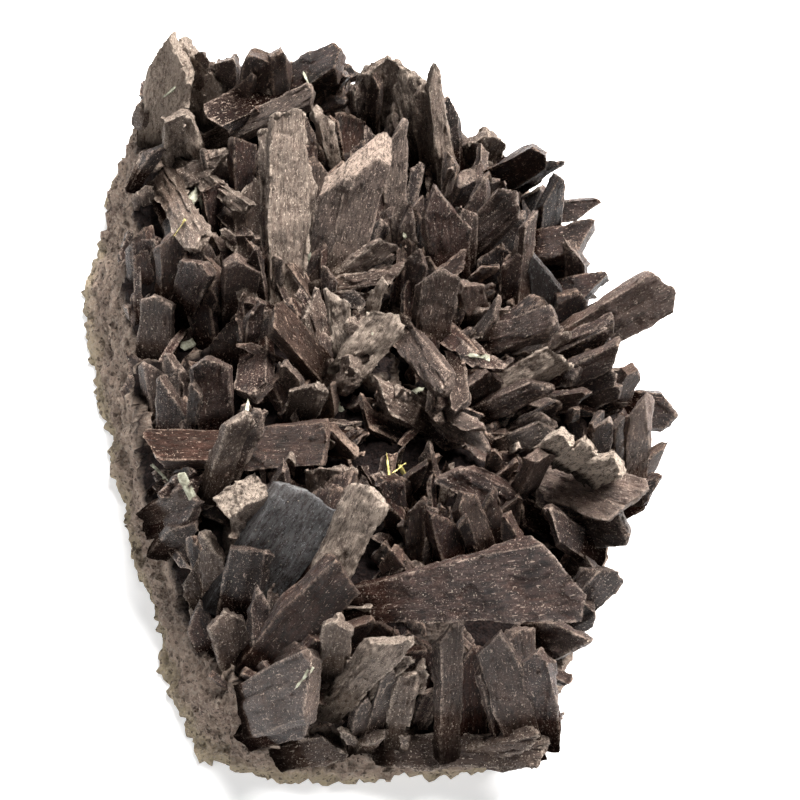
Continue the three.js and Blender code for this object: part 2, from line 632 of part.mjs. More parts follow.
const ROCK_STEPS = { across: 14, along: 18, up: 5 };
const LEDGE_DEPTH = 1.3;
const LUMP_HEIGHT = 1.2;
const ROOT_REACH = 5;
const ROOT_BARE = 1.6;
const MERGE_STEP = 0.1;

function bearing(point) {
  const angle = Math.atan2(point.y - ROCK_MIDDLE.y, point.x - ROCK_MIDDLE.x);
  return angle < 0 ? angle + 2 * Math.PI : angle;
}

function distanceOut(point) {
  return Math.hypot(point.x - ROCK_MIDDLE.x, point.y - ROCK_MIDDLE.y);
}

// A reading taken round the rock at any bearing, by going straight from station to station.
function roundTheRock(angle, reading) {
  const laps = [];
  for (const station of STATIONS) {
    laps.push({ angle: bearing(reading.where(station)), value: reading.value(station) });
  }
  laps.sort((one, other) => one.angle - other.angle);
  const after = laps.find((lap) => lap.angle > angle) ?? laps[0];
  const before = laps[(laps.indexOf(after) + laps.length - 1) % laps.length];
  const turn = 2 * Math.PI;
  const span = (after.angle - before.angle + turn) % turn;
  const share = ((angle - before.angle + turn) % turn) / span;
  return before.value + (after.value - before.value) * share;
}

const FOOT = { where: (station) => station.foot, value: (station) => distanceOut(station.foot) };
const RIM = { where: (station) => station.rim, value: (station) => distanceOut(station.rim) };
const RIM_HEIGHT = { where: (station) => station.rim, value: (station) => station.rim.z };

// The height of the rock among the crystals: it follows the heights of the roots near by.
const ROOTS = Object.values(CRYSTALS).flat().map((crystal) => crystal.root);

function floorHeight(x, y) {
  let total = 0;
  let weights = 0;
  for (const root of ROOTS) {
    const weight = 1 / ((root.x - x) ** 2 + (root.y - y) ** 2 + ROOT_REACH ** 2) ** 2;
    total += weight * root.z;
    weights += weight;
  }
  return total / weights - ROOT_BARE;
}

const noise = new ImprovedNoise();

function rockGeometry() {
  const { across, along, up } = ROCK_STEPS;
  const geometry = new THREE.BoxGeometry(2, 2, 1, across, along, up);
  geometry.translate(0, 0, 0.5);
  const spots = geometry.attributes.position;
  for (let i = 0; i < spots.count; i += 1) {
    const s = spots.getX(i);
    const t = spots.getY(i);
    const rise = spots.getZ(i);
    const reach = Math.max(Math.abs(s), Math.abs(t));
    const angle = (Math.atan2(t, s) + 2 * Math.PI) % (2 * Math.PI);
    const foot = roundTheRock(angle, FOOT);
    const rim = roundTheRock(angle, RIM);
    const ledges = noise.noise(3 * Math.cos(angle) + 9, 3 * Math.sin(angle), 4 * rise)
      + 0.6 * noise.noise(9 * Math.cos(angle), 9 * Math.sin(angle) + 5, 7 * rise);
    const radius = reach * (foot + (rim - foot) * rise + LEDGE_DEPTH * ledges * reach);
    const x = ROCK_MIDDLE.x + radius * Math.cos(angle);
    const y = ROCK_MIDDLE.y + radius * Math.sin(angle);
    const inside = Math.min(1, (1 - reach) * 4);
    const lumps = LUMP_HEIGHT * noise.noise(x / 4, y / 4, 0.5);
    const top = roundTheRock(angle, RIM_HEIGHT) * (1 - inside) + floorHeight(x, y) * inside;
    spots.setXYZ(i, x, y, rise * (top + lumps));
  }
  return geometry;
}

function largestBody(solid) {
  const bodies = solid.decompose();
  return bodies.reduce((best, body) => (body.volume() > best.volume() ? body : best));
}

function geometryOf(solid) {
  const mesh = solid.getMesh();
  const geometry = new THREE.BufferGeometry();
  geometry.setAttribute("position", new THREE.BufferAttribute(mesh.vertProperties, 3));
  geometry.setIndex(new THREE.BufferAttribute(mesh.triVerts, 1));
  geometry.computeVertexNormals();
  return geometry;
}

function surfaceOf(name) {
  if (PALE_NODES.includes(name)) return SURFACES.pale;
  if (DARK_NODES.includes(name)) return SURFACES.dark;
  return SURFACES.brown;
}

const specimen = new THREE.Group();

function addNode(name, solid, surface) {
  const mesh = new THREE.Mesh(geometryOf(solid), new THREE.MeshStandardMaterial(surface));
  mesh.name = name;
  specimen.add(mesh);
}

// The crystals, each group joined into one solid. Where two groups have grown against each
// other the later one stops just short of the earlier one.
let taken = null;
for (const [name, crystals] of Object.entries(CRYSTALS)) {
  const joined = grownTogether(crystals);
  const free = taken ? joined.subtract(taken) : joined;
  addNode(name, largestBody(free).asOriginal().simplify(MERGE_STEP), surfaceOf(name));
  const room = grownTogether(crystals, SOCKET_GAP);
  taken = taken ? taken.add(room) : room;
}
const rock = largestBody(solidOf(rockGeometry()).subtract(taken));
addNode("matrix", rock.asOriginal().simplify(MERGE_STEP), SURFACES.rock);

export default specimen;
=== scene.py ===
# %% [markdown]
# # A hand specimen of axinite
#
# Axinite grows as flattened crystals with an edge like an axe. Here nearly two hundred of them
# stand crowded on a slab of rock, with splinters between them. This notebook dresses the plain
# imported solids: it models each crystal again with its worn edges, cleavage steps and broken end,
# gives the rock its crumbling skin, and makes a procedural finish for each kind of surface.

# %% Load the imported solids
import math
import random

import bpy
import numpy as np
from mathutils import Matrix, Vector
from mathutils.bvhtree import BVHTree


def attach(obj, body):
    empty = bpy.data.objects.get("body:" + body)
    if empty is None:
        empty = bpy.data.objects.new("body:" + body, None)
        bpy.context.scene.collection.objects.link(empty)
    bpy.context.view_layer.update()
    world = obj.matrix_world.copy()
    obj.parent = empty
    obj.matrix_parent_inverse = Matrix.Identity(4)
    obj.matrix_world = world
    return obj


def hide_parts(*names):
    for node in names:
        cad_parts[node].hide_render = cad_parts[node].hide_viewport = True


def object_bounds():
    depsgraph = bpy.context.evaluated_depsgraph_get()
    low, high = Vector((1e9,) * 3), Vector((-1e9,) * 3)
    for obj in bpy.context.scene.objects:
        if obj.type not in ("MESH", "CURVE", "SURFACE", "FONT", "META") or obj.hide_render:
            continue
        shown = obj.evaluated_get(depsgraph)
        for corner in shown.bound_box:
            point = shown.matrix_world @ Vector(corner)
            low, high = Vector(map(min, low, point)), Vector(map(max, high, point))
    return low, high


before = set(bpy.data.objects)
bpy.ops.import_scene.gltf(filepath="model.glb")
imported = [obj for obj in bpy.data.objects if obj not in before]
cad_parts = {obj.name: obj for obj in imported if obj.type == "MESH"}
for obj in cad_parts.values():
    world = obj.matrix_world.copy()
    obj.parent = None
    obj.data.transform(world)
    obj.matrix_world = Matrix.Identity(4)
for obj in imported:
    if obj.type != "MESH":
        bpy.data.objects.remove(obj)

CAD_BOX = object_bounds()
print("packed box in metres:", [tuple(round(v, 4) for v in corner) for corner in CAD_BOX])

# %% [markdown]
# ## The camera
#
# The photograph looks down on the specimen from the front at 60 degrees. Its picture is 800
# pixels square, and a length at the middle of the specimen covers 6.5 pixels a millimetre. The
# focal length in pixels is that scale times the distance, and a 36 mm sensor turns it into the
# lens that Blender asks for.

# %% Camera
MM = 0.001
PICTURE = 800
PIXELS_PER_MM = 6.5
EYE_DISTANCE = 240
EYE_ELEVATION = math.radians(60)
AIM = Vector((2, 0, 20))
TOWARDS_EYE = Vector((0, -math.cos(EYE_ELEVATION), math.sin(EYE_ELEVATION)))
EYE = AIM + EYE_DISTANCE * TOWARDS_EYE
FOCAL_PIXELS = PIXELS_PER_MM * EYE_DISTANCE
SENSOR_MM = 36


def look_down_on_it():
    bpy.ops.object.select_all(action="DESELECT")
    bpy.ops.object.camera_add(location=EYE * MM, rotation=(math.pi / 2 - EYE_ELEVATION, 0, 0))
    camera = bpy.context.object
    camera.name = "camera"
    camera.data.sensor_width = SENSOR_MM
    camera.data.lens = FOCAL_PIXELS * SENSOR_MM / PICTURE
    camera.data.clip_start = 0.01
    bpy.context.scene.camera = camera
    return camera


camera = look_down_on_it()
print("lens in mm:", round(camera.data.lens, 1))

# %% [markdown]
# ## Reading places from the photograph
#
# A pixel gives a line of sight and a height picks one point on it. All the crystals are placed
# by this one helper, so that each root and tip sits where the photograph shows it while the
# heights keep the specimen deep. The millimetre is the working unit: the crystals are cut on a
# bench in millimetres and get their size in metres when they are planted.

# %% From a pixel and a height to a point
def seen(column, row, height):
    """The point at this height in mm that shows at this pixel."""
    across = (column - PICTURE / 2) / FOCAL_PIXELS
    up = (PICTURE / 2 - row) / FOCAL_PIXELS
    ray = Vector((across, up * math.sin(EYE_ELEVATION), up * math.cos(EYE_ELEVATION))) - TOWARDS_EYE
    return EYE + ray * (height - EYE.z) / ray.z


print("the middle of the picture at table height:", seen(400, 400, 0))

# %% [markdown]
# ## Studio
#
# The specimen lies on white paper in soft daylight from the upper right, with the paper burnt
# out to white and only a faint grey shadow at the lower left. A large floor, one broad area lamp
# behind the right shoulder, a weaker one from the left, and a pale world give that. The Standard
# view keeps white paper white.

# %% Floor, world and lamps
FLOOR_SIZE = 3.0
LAMPS = {
    "window": dict(place=(0.22, 0.20, 0.52), size=0.34, watts=20.5, tint=(1.0, 0.985, 0.97)),
    "card": dict(place=(-0.28, -0.38, 0.30), size=0.40, watts=1.2, tint=(0.97, 0.98, 1.0)),
}
PAPER_DROP = 0.0002
PAPER_GLOW = 0.50
WORLD_STRENGTH = 0.06
LAMP_AIM = Vector((0, 0, 0.02))


def lay_paper():
    bpy.ops.object.select_all(action="DESELECT")
    bpy.ops.mesh.primitive_plane_add(size=FLOOR_SIZE, location=(0, 0, -PAPER_DROP))
    paper = bpy.context.object
    paper.name = "paper_floor"
    finish = bpy.data.materials.new("white_paper")
    finish.use_nodes = True
    shader = finish.node_tree.nodes["Principled BSDF"]
    shader.inputs["Base Color"].default_value = (0.70, 0.70, 0.70, 1)
    shader.inputs["Roughness"].default_value = 0.9
    shader.inputs["Specular IOR Level"].default_value = 0.2
    shader.inputs["Emission Color"].default_value = (1, 1, 1, 1)
    shader.inputs["Emission Strength"].default_value = PAPER_GLOW
    paper.data.materials.append(finish)
    return paper


def hang_lamp(name, place, size, watts, tint):
    bpy.ops.object.light_add(type="AREA", location=place)
    lamp = bpy.context.object
    lamp.name = name
    lamp.data.size = size
    lamp.data.energy = watts
    lamp.data.color = tint
    lamp.rotation_euler = (Vector(place) - LAMP_AIM).to_track_quat("Z", "Y").to_euler()
    return lamp


def pale_world():
    world = bpy.data.worlds.new("pale_studio")
    world.use_nodes = True
    background = world.node_tree.nodes["Background"]
    background.inputs["Color"].default_value = (1, 1, 1, 1)
    background.inputs["Strength"].default_value = WORLD_STRENGTH
    bpy.context.scene.world = world


lay_paper()
pale_world()
for lamp_name, lamp in LAMPS.items():
    hang_lamp(lamp_name, **lamp)
bpy.context.scene.view_settings.view_transform = "Standard"
print("lamps hung:", ", ".join(LAMPS))

# %% [markdown]
# ## Building a finish from nodes
#
# Every finish below mixes a few noises. These small helpers add one node each and wire it, so
# that a finish reads as a short recipe: a pattern, how hard it is cut off, and what it colours.

# %% Node helpers
def new_finish(name):
    finish = bpy.data.materials.new(name)
    finish.use_nodes = True
    return finish, finish.node_tree, finish.node_tree.nodes["Principled BSDF"]


def plug(tree, socket, source):
    """Wires a node's output into a socket, or sets the socket to a plain value."""
    if isinstance(source, bpy.types.NodeSocket):
        tree.links.new(source, socket)
    else:
        socket.default_value = source


def reading(tree, name, output="Fac"):
    node = tree.nodes.new("ShaderNodeAttribute")
    node.attribute_name = name
    return node.outputs[output]


def stretched(tree, vector, scale):
    node = tree.nodes.new("ShaderNodeMapping")
    node.inputs["Scale"].default_value = scale
    plug(tree, node.inputs["Vector"], vector)
    return node.outputs["Vector"]


def clouds(tree, vector, scale, detail=4.0, roughness=0.55):
    node = tree.nodes.new("ShaderNodeTexNoise")
    node.inputs["Scale"].default_value = scale
    node.inputs["Detail"].default_value = detail
    node.inputs["Roughness"].default_value = roughness
    plug(tree, node.inputs["Vector"], vector)
    return node.outputs["Fac"]


def cells(tree, vector, scale, output="Distance"):
    node = tree.nodes.new("ShaderNodeTexVoronoi")
    node.inputs["Scale"].default_value = scale
    plug(tree, node.inputs["Vector"], vector)
    return node.outputs[output]


def between(tree, value, low, high):
    """Turns the part of a pattern from low to high into 0 to 1, and cuts off the rest."""
    node = tree.nodes.new("ShaderNodeMapRange")
    node.inputs["From Min"].default_value = low
    node.inputs["From Max"].default_value = high
    plug(tree, node.inputs["Value"], value)
    return node.outputs["Result"]


def sums(tree, operation, first, second):
    node = tree.nodes.new("ShaderNodeMath")
    node.operation = operation
    node.use_clamp = True
    plug(tree, node.inputs[0], first)
    plug(tree, node.inputs[1], second)
    return node.outputs["Value"]


def mixed(tree, share, first, second):
    node = tree.nodes.new("ShaderNodeMix")
    node.data_type = "RGBA"
    plug(tree, node.inputs["Factor"], share)
    plug(tree, node.inputs["A"], first)
    plug(tree, node.inputs["B"], second)
    return node.outputs["Result"]


def bumped(tree, height, strength, distance):
    node = tree.nodes.new("ShaderNodeBump")
    node.inputs["Strength"].default_value = strength
    node.inputs["Distance"].default_value = distance
    plug(tree, node.inputs["Height"], height)
    return node.outputs["Normal"]


print("node helpers ready")

# %% [markdown]
# ## Crystal finishes
#
# The crystals are one mineral with several skins. Fresh faces are dark maroon and a little
# glossy, most are dulled by fine scratches and pale crumbs, the broken and weathered ones are
# beige and rough, and a few big faces are smoother, with a bluish grey sheen painted as grey
# streaks. Small warm glints are painted on all of them. One recipe makes them all. It reads values
# that each crystal carries on its own surface: "grain" is the place on that crystal in millimetres,
# so that striations run along it, "edge" is 1 on its sharp edges, where wear shows pale, "pale"
# says how weathered it is, "cap" is 1 on the broken end, and one more value is painted shade,
# which darkens each crystal towards its root, where the crystals crowd.

# %% Crystal recipe
# Painted highlight: the warm colour of the small glints on the crystals.
GLINT = (0.86, 0.74, 0.58, 1)
# Painted shade: the near black that each crystal's colour goes to towards its root.
ROOT_SHADE = (0.0035, 0.0018, 0.0015, 1)
CRYSTAL_BUMP = 0.0009


def share_of(tree, amount, factor):
    return sums(tree, "MULTIPLY", amount, factor)


def fresh_colour(tree, grain, streak, deep, body):
    """Dark to lighter along the striations, in large soft patches."""
    patch = between(tree, clouds(tree, grain, 0.20, 5.0, 0.65), 0.44, 0.60)
    shade = sums(tree, "ADD", streak, share_of(tree, patch, 0.35))
    return mixed(tree, share_of(tree, shade, reading(tree, "tone")), deep, body), patch


def worn_and_glint_colour(tree, grain, along, fresh, patch, worn, specks):
    """Pale dust, weathering, rubbed edges, scratches and specks on top of the fresh colour, then painted
    glints.
    """
    crumbs = clouds(tree, grain, 2.6, 10.0, 0.88)
    dusty = share_of(tree, between(tree, crumbs, 0.53, 0.58), sums(tree, "ADD", patch, 0.15))
    base = mixed(tree, share_of(tree, dusty, 0.28 * specks), fresh, worn)
    scuff = between(tree, clouds(tree, along, 2.4, 10.0, 0.86), 0.455, 0.53)
    bare = sums(tree, "ADD", reading(tree, "pale"), reading(tree, "cap"))
    bare = share_of(tree, bare, sums(tree, "ADD", scuff, 0.12))
    base = mixed(tree, bare, base, worn)
    worn_through = between(tree, clouds(tree, grain, 1.6, 9.0, 0.85), 0.47, 0.55)
    base = mixed(tree, share_of(tree, reading(tree, "edge"), worn_through), base, worn)
    scratch = between(tree, clouds(tree, along, 4.5, 2.0, 0.5), 0.66, 0.70)
    scarce = 0.71 - 0.06 * specks
    speck = between(tree, clouds(tree, grain, 3.4, 2.0, 0.6), scarce, scarce + 0.03)
    base = mixed(tree, share_of(tree, sums(tree, "ADD", speck, scratch), 0.9), base, worn)
    # Painted highlight: small warm glints at scattered points.
    glint = share_of(tree, between(tree, cells(tree, grain, 0.8), 0.10, 0.05), 0.9)
    return mixed(tree, glint, base, GLINT), crumbs, bare


def crystal_finish(name, deep, body, worn, roughness, specks, streaks):
    finish, tree, shader = new_finish(name)
    grain = reading(tree, "grain", "Vector")
    along = stretched(tree, grain, (1.0, 1.0, 0.22))
    streak = between(tree, clouds(tree, along, 2.0, 9.0, 0.80), 0.43, 0.58)
    fresh, patch = fresh_colour(tree, grain, share_of(tree, streak, streaks), deep, body)
    base, crumbs, bare = worn_and_glint_colour(tree, grain, along, fresh, patch, worn, specks)
    # Painted shade: towards the root the colour goes to near black and the sheen drops, standing in for
    # the shade in the crevices between the crystals.
    root_shade = reading(tree, "root_shade")
    plug(tree, shader.inputs["Base Color"], mixed(tree, share_of(tree, root_shade, 0.9), base, ROOT_SHADE))
    dulled = sums(tree, "ADD", share_of(tree, crumbs, 0.3), roughness - 0.15)
    plug(tree, shader.inputs["Roughness"], sums(tree, "ADD", dulled, share_of(tree, bare, 0.3)))
    plug(tree, shader.inputs["Specular IOR Level"], sums(tree, "SUBTRACT", 0.30, root_shade))
    grit = clouds(tree, stretched(tree, grain, (1.0, 1.0, 0.5)), 4.0, 10.0, 0.8)
    height = sums(tree, "ADD", share_of(tree, streak, 0.35), share_of(tree, grit, 0.9))
    plug(tree, shader.inputs["Normal"], bumped(tree, height, 1.0, CRYSTAL_BUMP))
    return finish


FINISHES = {
    "maroon": crystal_finish("maroon_crystal", (0.0055, 0.0018, 0.0013, 1), (0.060, 0.023, 0.016, 1),
                             (0.54, 0.39, 0.30, 1), roughness=0.40, specks=0.8, streaks=0.65),
    "speckled": crystal_finish("speckled_crystal", (0.0085, 0.0033, 0.0024, 1), (0.088, 0.046, 0.036, 1),
                               (0.60, 0.46, 0.37, 1), roughness=0.47, specks=1.15, streaks=0.65),
    "weathered": crystal_finish("weathered_crystal", (0.042, 0.024, 0.018, 1), (0.20, 0.135, 0.104, 1),
                                (0.70, 0.57, 0.46, 1), roughness=0.66, specks=1.2, streaks=0.7),
    # Painted reflection: the grey of this finish, on its streaks, edges and specks, is partly wear and
    # partly a painted sheen; its dark brown body is the crystal's own colour.
    "painted_sheen": crystal_finish("painted_sheen_crystal", (0.019, 0.011, 0.009, 1), (0.095, 0.066, 0.057, 1),
                            (0.42, 0.42, 0.42, 1), roughness=0.40, specks=1.2, streaks=0.9),
}
print("crystal finishes:", ", ".join(FINISHES))

# %% [markdown]
# ## Cutting one crystal
#
# A crystal stands upright on the bench with its root at the origin and its broad face to the
# front, as an object faces Blender's front view. It starts as a cube of its length. Its four long
# edges are pulled into the leaning section of axinite, the root is drawn in, and bisect planes
# cut the end to a ridge and knock off corners. A sharp remesh then covers the same flat faces
# with an even net, which displace modifiers wear: a slow bow, ribs along the length, cleavage
# steps and pits. Modelling the relief, not only painting it, keeps the edges ragged in outline.

# %% Bench helpers
BURIED = 2.5
CELL = 0.36
FILLER_CELL = 0.55
SHARP_ENOUGH = 0.24
SMOOTH_BELOW = math.radians(38)


def only(piece):
    bpy.ops.object.select_all(action="DESELECT")
    piece.select_set(True)
    bpy.context.view_layer.objects.active = piece


def choose(piece, chosen):
    """Selects the chosen corners of a piece in edit mode."""
    bpy.ops.mesh.select_all(action="DESELECT")
    bpy.ops.object.mode_set(mode="OBJECT")
    for corner in piece.data.vertices:
        corner.select = chosen(corner.co)
    bpy.ops.object.mode_set(mode="EDIT")


def pull(piece, chosen, move):
    """Moves the chosen corners."""
    choose(piece, chosen)
    bpy.ops.transform.translate(value=move)


def cut(point, facing):
    """Cuts away what lies beyond a plane, and closes the cut."""
    bpy.ops.mesh.select_all(action="SELECT")
    bpy.ops.mesh.bisect(plane_co=point, plane_no=Vector(facing).normalized(),
                        use_fill=True, clear_outer=True)


def apply_modifier(piece, kind, name, **settings):
    modifier = piece.modifiers.new(name, kind)
    for key, value in settings.items():
        setattr(modifier, key, value)
    bpy.ops.object.modifier_apply(modifier=name)


def store(piece, name, values, kind="FLOAT", key="value"):
    """Keeps one value for each vertex, where a material can read it."""
    kept = piece.data.attributes.new(name, kind, "POINT")
    kept.data.foreach_set(key, np.ascontiguousarray(values, dtype=np.float32).ravel())


def corners_of(piece):
    spots = np.zeros(len(piece.data.vertices) * 3, dtype=np.float32)
    piece.data.vertices.foreach_get("co", spots)
    return spots.reshape(-1, 3)


def sharpness_of(piece):
    """0 on a flat face and 1 on an edge, from how far the faces round each vertex disagree."""
    mesh = piece.data
    facing = np.zeros(len(mesh.polygons) * 3, dtype=np.float32)
    mesh.polygons.foreach_get("normal", facing)
    facing = facing.reshape(-1, 3)
    owner = np.repeat(np.arange(len(mesh.polygons)), [len(face.vertices) for face in mesh.polygons])
    corner = np.zeros(len(mesh.loops), dtype=np.int32)
    mesh.loops.foreach_get("vertex_index", corner)
    total = np.zeros((len(mesh.vertices), 3), dtype=np.float32)
    np.add.at(total, corner, facing[owner])
    share = np.bincount(corner, minlength=len(mesh.vertices))
    agreement = np.linalg.norm(total, axis=1) / np.maximum(share, 1)
    return np.clip((1 - agreement) / SHARP_ENOUGH, 0, 1), total / np.maximum(share, 1)[:, None]


def relief(name, kind, size, **settings):
    texture = bpy.data.textures.new(name, kind)
    texture.noise_scale = size
    for key, value in settings.items():
        setattr(texture, key, value)
    return texture


RELIEFS = {
    "bow": relief("slow_bow", "CLOUDS", 6.0, noise_depth=1),
    "slats": relief("long_slats", "VORONOI", 1.7, color_mode="POSITION"),
    "ribs": relief("long_ribs", "CLOUDS", 0.7, noise_depth=3),
    "steps": relief("cleavage_steps", "VORONOI", 2.0, color_mode="POSITION"),
    "pits": relief("small_pits", "CLOUDS", 0.9, noise_depth=4),
    "bites": relief("edge_bites", "CLOUDS", 1.5, noise_depth=3),
    "splits": relief("split_ends", "VORONOI", 1.5, color_mode="POSITION"),
}
GUIDE_STRETCH = dict(bow=1, slats=14, ribs=9, steps=2.2, pits=1.3, bites=1.2, splits=400)
MID_LEVELS = dict(bites=0.35, splits=0.6)
DEPTHS = {
    "maroon": dict(bow=0.8, slats=0.38, ribs=0.16, steps=0.40, pits=0.12, bites=-0.5, splits=0.9),
    "speckled": dict(bow=0.9, slats=0.42, ribs=0.18, steps=0.45, pits=0.18, bites=-0.5, splits=0.9),
    "weathered": dict(bow=1.2, slats=0.60, ribs=0.45, steps=0.70, pits=0.55, bites=-0.9, splits=1.4),
    "painted_sheen": dict(bow=0.5, slats=0.30, ribs=0.18, steps=0.25, pits=0.06, bites=-0.4, splits=0.8),
}
SIDE_LEAN = 0.09
FACE_LEAN = 0.22
SPLIT_REACH = 4.5
BROAD = 3.5
END_SLANT = 1.25
STEEPEST_VIEW = 0.45

bpy.ops.object.select_all(action="DESELECT")
bpy.ops.object.empty_add(type="PLAIN_AXES")
guide = bpy.context.object
guide.name = "relief_guide"
print("reliefs:", ", ".join(RELIEFS))

# %% [markdown]
# The next functions are the steps for one crystal, in the order in which the bench does them:
# rough out, cut the end, break the corners, cover with a net, wear, colour and plant. Each
# crystal's name seeds its own chance, so no two are alike and every run gives the same ones.

# %% One crystal, cut and worn
def rough_out(length, wide, thick, neck, end, lean, chance):
    """A cube pulled and cut into a blade."""
    bpy.ops.mesh.primitive_cube_add(size=1, location=(0, 0, (length - BURIED) / 2))
    blade = bpy.context.object
    blade.scale = (wide, thick, length + BURIED)
    only(blade)
    bpy.ops.object.transform_apply(location=True, rotation=False, scale=True)
    bpy.ops.object.mode_set(mode="EDIT")
    pull(blade, lambda spot: spot.x < 0 and spot.y < 0, (SIDE_LEAN * wide, 0, 0))
    pull(blade, lambda spot: spot.x > 0 and spot.y < 0, (0, FACE_LEAN * thick, 0))
    pull(blade, lambda spot: spot.x > 0 and spot.y > 0.4 * thick, (-SIDE_LEAN * wide, 0, 0))
    pull(blade, lambda spot: spot.x < 0 and spot.y > 0, (0, -FACE_LEAN * thick, 0))
    choose(blade, lambda spot: spot.z < 0)
    bpy.ops.transform.resize(value=(neck, neck, 1), center_override=(0, 0, -BURIED))
    cut_end(length, wide, thick, end, lean)
    knock_corners(length, wide, thick, chance)
    bpy.ops.object.mode_set(mode="OBJECT")
    return blade


def cut_end(length, wide, thick, end, lean):
    """Two planes that meet in a ridge across the end, both leaning to one broad face."""
    peak, left_drop, right_drop = end
    half_wide, half_thick = wide / 2, thick / 2
    slope = abs(lean) / thick
    towards = 1 if lean < 0 else -1
    top = (peak * half_wide, -towards * half_thick, length)
    cut(top, (-left_drop / ((peak + 1) * half_wide), towards * slope, 1))
    cut(top, (right_drop / ((1 - peak) * half_wide), towards * slope, 1))


def knock_corners(length, wide, thick, chance):
    """Breaks at the corners of the end, and a bevel down one sharp edge of a broad crystal."""
    for side in (-1, 1):
        depth = chance.uniform(0.02, 0.14) * wide
        facing = Vector((side, chance.uniform(-0.7, 0.7), chance.uniform(0.4, 1.3))).normalized()
        cut(Vector((side * wide / 2, 0, length)) - facing * depth, facing)
    for side in (-1, 1):
        facing = Vector((chance.uniform(-0.5, 0.5), side, chance.uniform(0.5, 1.2))).normalized()
        depth = chance.uniform(0.02, 0.22) * thick
        cut(Vector((0, side * thick / 2, length)) - facing * depth, facing)
    if wide > BROAD:
        side = chance.choice((-1, 1))
        facing = Vector((side, chance.uniform(-0.6, -0.1), chance.uniform(-0.06, 0.12))).normalized()
        cut(Vector((side * wide * chance.uniform(0.38, 0.46), 0, length / 2)), facing)


def wedge_end(wide, chance):
    """The usual end of an axinite crystal: a ridge near one side and a long slant to the other."""
    side = chance.choice((-1, 1))
    drops = [chance.uniform(0.05, 0.2) * wide, chance.uniform(0.4, 0.9) * wide]
    return (side * chance.uniform(0.3, 0.85), *drops[::-side])


def weigh(blade, name, weights, levels=6):
    """A vertex group whose weights go up in a few even levels."""
    group = blade.vertex_groups.new(name=name)
    for level in range(1, levels + 1):
        chosen = np.nonzero(np.rint(weights * levels) == level)[0].tolist()
        group.add(chosen, level / levels, "REPLACE")
    return name


def net_and_wear(blade, length, finish, chance, cell):
    """An even net over the flat faces, then the reliefs that wear it."""
    only(blade)
    longest = max(blade.dimensions)
    depth = math.ceil(math.log2(longest / (0.99 * cell)))
    apply_modifier(blade, "REMESH", "net", mode="SHARP", octree_depth=depth,
                   scale=longest / (cell * 2 ** depth), use_remove_disconnected=False)
    edge, facing = sharpness_of(blade)
    near_end = np.clip((corners_of(blade)[:, 2] - length + SPLIT_REACH) / SPLIT_REACH, 0, 1)
    groups = {"bites": weigh(blade, "worn_edge", edge), "splits": weigh(blade, "near_end", near_end)}
    for kind, strength in DEPTHS[finish].items():
        guide.location = (chance.uniform(-90, 90), chance.uniform(-90, 90), chance.uniform(-90, 90))
        guide.scale = (1, 1, GUIDE_STRETCH[kind])
        bpy.context.view_layer.update()
        apply_modifier(blade, "DISPLACE", kind, texture=RELIEFS[kind], texture_coords="OBJECT",
                       texture_coords_object=guide, strength=strength,
                       vertex_group=groups.get(kind, ""), mid_level=MID_LEVELS.get(kind, 0.5),
                       direction="Z" if kind == "splits" else "NORMAL")
    return edge, facing


def cut_crystal(name, root, tip, wide, thick, roll=0, neck=0.8, lean=None, end=None,
                finish="speckled", pale=0.0, cap=0.15, root_shade=0.45, tone=None, cell=CELL):
    """Cuts, wears and plants one crystal between two points in mm."""
    chance = random.Random(name)
    length = (tip - root).length
    lean = -0.7 * thick if lean is None else lean
    peak, left_drop, right_drop = end or wedge_end(wide, chance)
    slant = END_SLANT / max(STEEPEST_VIEW, (tip - root).normalized().cross(TOWARDS_EYE).length)
    end = (peak, left_drop * slant, right_drop * slant)
    blade = rough_out(length, wide, thick, neck, end, lean, chance)
    blade.name = name
    edge, facing = net_and_wear(blade, length, finish, chance, cell)
    shift = np.array([chance.uniform(-400, 400) for _ in range(3)], dtype=np.float32)
    spots = corners_of(blade)
    upward = np.clip((facing[:, 2] - 0.35) / 0.3, 0, 1)
    ends = upward * np.clip((spots[:, 2] - 0.6 * length) / 2, 0, 1)
    store(blade, "grain", spots + shift, "FLOAT_VECTOR", "vector")
    store(blade, "edge", edge)
    store(blade, "pale", np.full(len(spots), pale + chance.uniform(-0.1, 0.15)))
    store(blade, "tone", np.full(len(spots), tone or chance.uniform(0.4, 1.25)))
    store(blade, "cap", ends * cap * chance.uniform(0.6, 1.3))
    # Painted shade: 1 at the root of the crystal, falling to 0 at a share of its length.
    store(blade, "root_shade", np.clip(1 - (spots[:, 2] + 1) / (root_shade * length + 1), 0, 1) ** 1.3)
    blade.data.materials.append(FINISHES[finish])
    plant(blade, root, tip, roll)
    return blade


def directions(root, tip, roll):
    """Across, face and along of a crystal: its broad face looks to the eye before it is rolled."""
    along = (tip - root).normalized()
    face = (TOWARDS_EYE - along * TOWARDS_EYE.dot(along)).normalized()
    face = Matrix.Rotation(math.radians(roll), 3, along) @ face
    return along.cross(face), face, along


def plant(blade, root, tip, roll):
    """Stands the blade on its root."""
    across, face, along = directions(root, tip, roll)
    turned = Matrix((across, -face, along)).transposed().to_4x4()
    blade.matrix_world = Matrix.Translation(root * MM) @ turned @ Matrix.Scale(MM, 4)
    only(blade)
    bpy.ops.object.transform_apply(location=True, rotation=True, scale=True)
    blade.vertex_groups.clear()


